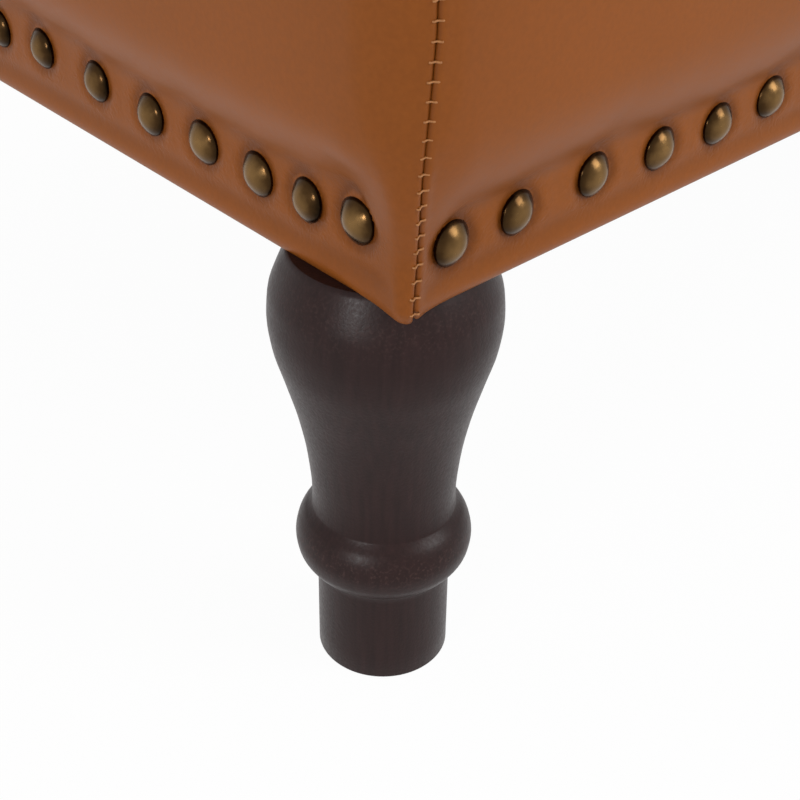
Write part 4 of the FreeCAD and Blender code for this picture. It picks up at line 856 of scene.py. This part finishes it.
for depth, sign_y in (("front", -1), ("back", 1)):
    for end, sign_x in (("left", -1), ("right", 1)):
        leg = turned_shape(f"{depth}_{end}_turned_leg", leg_curve(), 96, LACQUER)
        heights = np.array([v.co.z / MM for v in leg.data.vertices])
        # Wear mixed with painted highlight: paler specks on the ring and just below the leather.
        rub_and_sheen = 0.6 * np.exp(-((heights - 39) / 4) ** 2) + 0.35 * np.exp(-((heights - 112) / 6) ** 2)
        store(leg, "rub_and_sheen", rub_and_sheen)
        leg.data.transform(Matrix.Translation((sign_x * LEG_AXIS[0] * MM, sign_y * LEG_AXIS[1] * MM, 0)))
        for face in leg.data.polygons:
            if abs(face.normal.z) > 0.95:
                face.use_smooth = False
        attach(leg, "base")
        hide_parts(f"leg_{depth}_{end}")
print("leg faces:", len(leg.data.polygons))

# %% [markdown]
# ## Tufted lid
# Deep tufting pulls a padded top down at each button, and the leather folds along straight pleats from
# button to button, which leaves a field of diamonds. The depth at a place comes from the distance to the
# nearest button and to the nearest pleat.

# %% Tufting plan
LID_HALF = np.array([540.0, 220.0])
TUFT_DEPTH, PLEAT_DEPTH = 20.0, 9.0
BUTTON_FLAT, PIT_REACH, PLEAT_REACH, CREASE_REACH = 9.0, 22.0, 9.5, 2.2
MIDDLE_ROW = [(140.0 * i, 0.0) for i in range(-3, 4)]
OUTER_ROWS = [(70.0 * i, side * 115.0) for side in (-1, 1) for i in (-5, -3, -1, 1, 3, 5)]
TUFTS = np.array(MIDDLE_ROW + OUTER_ROWS)


def pleat_lines():
    """Ends of every pleat: diagonals between buttons and the runs out over the edge of the lid."""
    lines = [(m, o) for m in MIDDLE_ROW for o in OUTER_ROWS if abs(m[0] - o[0]) < 100]
    lines += [(o, (o[0], math.copysign(LID_HALF[1], o[1]))) for o in OUTER_ROWS]
    lines += [(o, np.copysign(LID_HALF, o)) for o in OUTER_ROWS if abs(o[0]) > 340]
    lines += [(m, (math.copysign(LID_HALF[0], m[0]), 0.0)) for m in MIDDLE_ROW if abs(m[0]) > 400]
    return np.array(lines)


PLEATS = pleat_lines()


def tuft_depth(x, y):
    """How far the tufting pulls the top down at a place, and how much painted shade it gets in the pleats and
    round the buttons.
    """
    place = np.stack([x, y], axis=-1)[..., None, :]
    to_button = np.linalg.norm(place - TUFTS, axis=-1).min(-1)
    start, run = PLEATS[:, 0], PLEATS[:, 1] - PLEATS[:, 0]
    share = np.clip(((place - start) * run).sum(-1) / (run ** 2).sum(-1), 0, 1)
    to_pleat = np.linalg.norm(place - (start + share[..., None] * run), axis=-1).min(-1)
    pit = TUFT_DEPTH * np.exp(-(np.maximum(to_button - BUTTON_FLAT, 0) / PIT_REACH) ** 1.25)
    pleat = PLEAT_DEPTH * np.exp(-to_pleat / PLEAT_REACH)
    crease = np.exp(-to_pleat / CREASE_REACH)
    depth = (pit ** 2.5 + pleat ** 2.5) ** 0.4
    # The second value is painted shade: dark along the pleats' creases and round the buttons.
    return depth, np.clip(0.35 * crease + 0.6 * np.exp(-(to_button / 13) ** 4), 0, 1)


print("buttons:", len(TUFTS), "pleats:", len(PLEATS))


# %% [markdown]
# The lid's top is a grid that is laid out flat, with its outer cells folded over the shoulder. A cell's
# distance from the edge of the layout says how far down the shoulder it lies, and its ring there has
# rounded corners. The crown below the tufts is the lower of a long and a short arc.

# %% Top of the lid
LID_TOP, LID_UNDER = 450.0, 350.3
SHOULDER, DRAW, LID_ROUND, LID_CORNER = 30.0, 4.0, 8.0, 26.0
LID_CELL, SIDE_PUFF = 4.0, 1.6
LONG_CROWN, SHORT_CROWN, CROWN_BLEND = 11.0, 20.0, 3.0
ARC = SHOULDER * math.pi / 2
FLAT_HALF = LID_HALF - DRAW


def crown_at(x, y):
    """Height of the untufted top, eased where the two arcs meet."""
    flat_x, flat_y = FLAT_HALF - SHOULDER
    along = 1 - LONG_CROWN * (np.minimum(np.abs(x), flat_x) / flat_x) ** 2
    across = -SHORT_CROWN * (np.minimum(np.abs(y), flat_y) / flat_y) ** 2
    lower = -CROWN_BLEND * np.log(np.exp(-along / CROWN_BLEND) + np.exp(-across / CROWN_BLEND))
    return lower + LID_TOP + 2


def rounded(x, y, half_x, half_y, radius):
    """A point on a rectangle moved to the same rectangle with round corners."""
    core_x = np.clip(x, -(half_x - radius), half_x - radius)
    core_y = np.clip(y, -(half_y - radius), half_y - radius)
    away = np.maximum(np.hypot(x - core_x, y - core_y), 1e-9)
    return core_x + (x - core_x) / away * radius, core_y + (y - core_y) / away * radius


def lid_top():
    """Plan of the top's grid, its points and the painted shade at each."""
    unrolled = FLAT_HALF - SHOULDER + ARC
    spans = [np.linspace(-size, size, 2 * round(size / LID_CELL) + 1) for size in unrolled]
    gx, gy = np.meshgrid(*spans, indexing="ij")
    to_edge = np.minimum(unrolled[0] - np.abs(gx), unrolled[1] - np.abs(gy))
    turn = np.clip((ARC - to_edge) / SHOULDER, 0, math.pi / 2)
    inset = np.where(to_edge < ARC, SHOULDER * (1 - np.sin(turn)), SHOULDER + to_edge - ARC)
    half_x, half_y = FLAT_HALF[0] - inset, FLAT_HALF[1] - inset
    x = gx * half_x / np.maximum(unrolled[0] - to_edge, 1e-6)
    y = gy * half_y / np.maximum(unrolled[1] - to_edge, 1e-6)
    x, y = rounded(x, y, half_x, half_y, np.maximum(LID_CORNER - 0.6 * inset, 0.5))
    depth, fold_shade = tuft_depth(x, y)
    over = np.cos(turn)
    top = crown_at(x, y) - SHOULDER * (1 - over) - depth * over
    shrink = 1 - 0.033 * (depth / TUFT_DEPTH) * np.sin(turn)
    return x, y, np.stack([x * shrink, y * shrink, top], axis=-1), fold_shade * (0.3 + 0.7 * over)


top_x, top_y, top_points, top_fold_shade = lid_top()
print("top grid:", top_fold_shade.shape)


# %% [markdown]
# Below the shoulder the lid is a stack of rings. They puff a little down the side, round under the edge and
# step into the hollow that takes the board.

# %% The padded lid
def grid_quads(index):
    """Faces of a grid of point numbers."""
    corners = [index[:-1, :-1], index[1:, :-1], index[1:, 1:], index[:-1, 1:]]
    return np.stack(corners, axis=-1).reshape(-1, 4).tolist()


def side_levels(rim, rim_fold_shade, pleat):
    """(out, height, painted shade) of each ring below the rim; pleat is the depth of the tufting there."""
    side_end = LID_UNDER + LID_ROUND
    levels = []
    for t in np.linspace(0, 1, 13)[1:]:
        out = DRAW * t + SIDE_PUFF * math.sin(math.pi * t) - 0.5 * pleat * (1 - t) ** 1.5
        levels.append((out, rim + (side_end - rim) * t, rim_fold_shade * (1 - t)))
    for turn in np.linspace(0, math.pi / 2, 6)[1:]:
        levels.append((DRAW - LID_ROUND * (1 - math.cos(turn)), side_end - LID_ROUND * math.sin(turn), 0))
    hollow = ((20, 0), (32, 0), (32, 1.2), (6.7, 1.2), (6.7, 13.8))
    return levels + [(DRAW - inwards, LID_UNDER + up, 0) for inwards, up in hollow]


index = np.arange(top_x.size).reshape(top_x.shape)
border = np.concatenate([index[:-1, 0], index[-1, :-1], index[:0:-1, -1], index[0, :0:-1]])
plan = np.column_stack([top_x.ravel()[border], top_y.ravel()[border]])
core = np.clip(plan, LID_CORNER - FLAT_HALF, FLAT_HALF - LID_CORNER)
away = (plan - core) / np.linalg.norm(plan - core, axis=1, keepdims=True)
points, fold_shades, rings = [top_points.reshape(-1, 3)], [top_fold_shade.ravel()], [border]
for out, z, fold_shade in side_levels(points[0][border, 2], fold_shades[0][border], tuft_depth(*plan.T)[0]):
    out, z, fold_shade = [np.broadcast_to(value, len(border)) for value in (out, z, fold_shade)]
    # A ring drawn in further than the corner's radius keeps its corners square.
    grow = np.maximum(out, 1 - LID_CORNER)[:, None]
    ring = (core + away * (LID_CORNER + grow)) * (FLAT_HALF + out[:, None]) / (FLAT_HALF + grow)
    rings.append(np.arange(len(border)) + sum(len(some) for some in points))
    points.append(np.column_stack([ring, z]))
    fold_shades.append(fold_shade)
rings = [ring.tolist() for ring in rings]
lid_faces = grid_quads(index) + join_rings(rings) + [rings[-1]]
lid_pad = piece_from("tufted_lid_pad", np.concatenate(points), lid_faces, LEATHER, (len(lid_faces) - 1,))
store(lid_pad, "fold_shade", np.concatenate(fold_shades))
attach(lid_pad, "lid")
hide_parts("lid_cover", "lid_foam")
print("lid faces:", len(lid_faces))

# %% [markdown]
# Covered buttons close the tufts. Each is a leather cap drawn over a metal shell, a little flatter on top
# than a ball, with its edge tucked under.

# %% Covered buttons
button_profile = [(8.2, -1.6), (9.4, -0.9), (10, 0.6), (9.7, 2.2), (8.5, 3.7), (6.4, 4.8), (3.4, 5.4),
                  (0, 5.6)]
button_shape = turned_shape("button_shape", button_profile, 24, LEATHER)
seats = crown_at(TUFTS[:, 0], TUFTS[:, 1]) - TUFT_DEPTH + 0.6
buttons = set_on_points("covered_buttons", button_shape, np.column_stack([TUFTS, seats]),
                        [(0, 0, 1)] * len(TUFTS), [(1, 0, 0)] * len(TUFTS), LEATHER, lean=0.05, seed=3)
bpy.data.objects.remove(button_shape)
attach(buttons, "lid")
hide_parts("tuft_buttons")


# %% [markdown]
# ## Linings
# A brown cloth lines the storage box and the underside of the lid, and a black one keeps dust out below.
# Each is cut flat and stretched over boards, so its mesh is a plain sheet that is made a millimetre or so
# thick behind its face.

# %% Level cloths
def open_sheet(name, points, faces, finish, thickness):
    """A sheet whose faces keep the way they are given, made thick behind them."""
    cloth = raw_piece(name, points, faces, finish)
    solid = cloth.modifiers.new("Thickness", "SOLIDIFY")
    solid.thickness = thickness * MM
    solid.offset = -1
    thick = worked_mesh(cloth)
    cloth.modifiers.clear()
    cloth.data = thick
    print(name, "faces:", len(thick.polygons))
    return cloth


def level_sheet(name, half_x, half_y, z, finish, thickness):
    """A level sheet that shows its face to the floor."""
    x, y = np.meshgrid(np.linspace(-half_x, half_x, 61), np.linspace(-half_y, half_y, 25), indexing="ij")
    faces = [face[::-1] for face in grid_quads(np.arange(x.size).reshape(x.shape))]
    points = np.stack([x, y, np.full_like(x, z)], axis=-1).reshape(-1, 3)
    return open_sheet(name, points, faces, finish, thickness)


dust = level_sheet("dust_cover_cloth", 514.7, 194.7, EDGE_Z, DUST_CLOTH, 1.2)
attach(dust, "base")
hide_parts("dust_cover")

lid_cloth = level_sheet("lid_lining_cloth", 516, 196, 349.0, LINING, 1.0)
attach(lid_cloth, "lid")
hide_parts("lid_lining")


# %% [markdown]
# The storage lining is sewn as a tub: a floor and four walls, stepped in round the corner posts. Its mesh
# is a stack of rings on that plan.

# %% Storage lining
TUB_HALF, TUB_POST = (515.2, 195.2), 16.0
TUB_FLOOR, TUB_TOP = 162.8, 322.6


def tub_outline():
    """Plan of the tub, with a point about every 14 mm."""
    (inner_x, inner_y), post = TUB_HALF, TUB_POST
    quarter = [(inner_x - post, inner_y), (inner_x - post, inner_y - post), (inner_x, inner_y - post)]
    ring = quarter + [(x, -y) for x, y in reversed(quarter)]
    ring += [(-x, -y) for x, y in quarter] + [(-x, y) for x, y in reversed(quarter)]
    dense = []
    for (ax, ay), (bx, by) in zip(ring, ring[1:] + ring[:1]):
        count = max(2, int(math.hypot(bx - ax, by - ay) / 14))
        dense += [(ax + (bx - ax) * i / count, ay + (by - ay) * i / count) for i in range(count)]
    return np.array(dense)


tub_plan = tub_outline()
tub_levels = np.linspace(TUB_FLOOR, TUB_TOP, 9)
tub_points = np.concatenate([np.column_stack([tub_plan, np.full(len(tub_plan), z)]) for z in tub_levels])
tub_rings = np.arange(len(tub_points)).reshape(len(tub_levels), -1).tolist()
tub_faces = join_rings(tub_rings) + [tub_rings[0][::-1]]
tub = open_sheet("storage_lining_cloth", tub_points, tub_faces, LINING, 1.0)
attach(tub, "base")
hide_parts("storage_lining")


# %% [markdown]
# ## Floor, light and camera
# The bench stands on a white sweep. The floor and the world show nearly white wherever they are seen,
# straight on or in a reflection, and light the bench at a plain level. The floor keeps a soft shadow.

# %% Floor and world
FLOOR_HALF = 40000
WHITE_SHARE, PLAIN_LEVEL = 0.965, 0.55


def seen_rays(tree):
    """1 for the rays in which the background is seen: straight on, in a reflection or through glass."""
    ray = add(tree, "ShaderNodeLightPath").outputs
    first = add(tree, "ShaderNodeMath", {0: ray["Is Camera Ray"], 1: ray["Is Glossy Ray"]},
                operation="MAXIMUM")
    return add(tree, "ShaderNodeMath", {0: first, 1: ray["Is Transmission Ray"]}, operation="MAXIMUM")


def white_floor():
    material = bpy.data.materials.new("white_sweep")
    tree = empty_tree(material)
    paper = add(tree, "ShaderNodeBsdfDiffuse", {"Color": srgb("#F4F4F4")})
    glow = add(tree, "ShaderNodeEmission", {"Color": (1, 1, 1, 1), "Strength": 1.0})
    share = add(tree, "ShaderNodeMath", {0: seen_rays(tree), 1: WHITE_SHARE}, operation="MULTIPLY")
    mixed = add(tree, "ShaderNodeMixShader", {0: share, 1: paper, 2: glow})
    add(tree, "ShaderNodeOutputMaterial", {"Surface": mixed})
    return material


floor_corners = [(x * FLOOR_HALF, y * FLOOR_HALF, 0) for x, y in ((-1, -1), (1, -1), (1, 1), (-1, 1))]
floor = piece_from("floor", floor_corners, [(0, 1, 2, 3)], white_floor())

world = bpy.data.worlds.new("studio")
bpy.context.scene.world = world
sky = empty_tree(world)
strength = add(sky, "ShaderNodeMapRange", {"Value": seen_rays(sky), "To Min": PLAIN_LEVEL, "To Max": 1.0})
light = add(sky, "ShaderNodeBackground", {"Color": (1, 1, 1, 1), "Strength": strength})
add(sky, "ShaderNodeOutputWorld", {"Surface": light})
print("floor width, m:", 2 * FLOOR_HALF * MM)

# %% [markdown]
# One small soft box stands to the left and a larger one to the front right, which is where the lights on
# the nails come from. A third fills the back. All of them face the front left corner.

# %% Soft boxes
CORNER = Vector((-0.53, -0.21, 0.13))


def soft_box(name, direction, distance, size, watts):
    """A square lamp that faces the front left corner from a direction."""
    lamp = bpy.data.lights.new(name, "AREA")
    lamp.shape = "SQUARE"
    lamp.size = size
    lamp.energy = watts
    holder = bpy.data.objects.new(name, lamp)
    holder.location = CORNER + Vector(direction).normalized() * distance
    holder.rotation_euler = (-Vector(direction)).to_track_quat("-Z", "Y").to_euler()
    bpy.context.scene.collection.objects.link(holder)
    print(name, "watts:", watts)


soft_box("left_box", (-0.92, -0.27, 0.30), 2.4, 0.4, 22)
soft_box("right_box", (0.47, -0.72, 0.52), 2.6, 1.2, 36)
soft_box("back_box", (0.75, 0.85, 0.60), 3.4, 1.2, 45)

# %% [markdown]
# The camera looks down on the front left foot from close by. Its place and turn were solved from the leg's
# outline and the leather's lower edges; it rolls by about one degree.

# %% Camera
CAMERA_AZ, CAMERA_PITCH, CAMERA_ROLL = 227.027, 35.026, 0.947
FOCAL_PX, FRAME_PX, SENSOR = 1621.6, 800, 36.0
CAMERA_FROM_LEG = Vector((-0.21623, -0.23744, 0.30163))
az, pitch, roll = (math.radians(a) for a in (CAMERA_AZ, CAMERA_PITCH, CAMERA_ROLL))
back = Vector((math.cos(az) * math.cos(pitch), math.sin(az) * math.cos(pitch), math.sin(pitch)))
right = (-back).cross(Vector((0, 0, 1))).normalized()
up = right.cross(-back)
right_rolled = right * math.cos(roll) + up * math.sin(roll)
up_rolled = up * math.cos(roll) - right * math.sin(roll)
camera_data = bpy.data.cameras.new("camera")
camera_data.sensor_width = SENSOR
camera_data.lens = FOCAL_PX / FRAME_PX * SENSOR
camera_data.clip_start = 0.01
camera = bpy.data.objects.new("camera", camera_data)
spot = Vector((-LEG_AXIS[0] * MM, -LEG_AXIS[1] * MM, 0)) + CAMERA_FROM_LEG
facing = Matrix((right_rolled, up_rolled, back)).transposed().to_4x4()
camera.matrix_world = Matrix.Translation(spot) @ facing
bpy.context.scene.collection.objects.link(camera)
bpy.context.scene.camera = camera
bpy.context.scene.view_settings.view_transform = "Standard"
print("lens, mm:", round(camera_data.lens, 2))
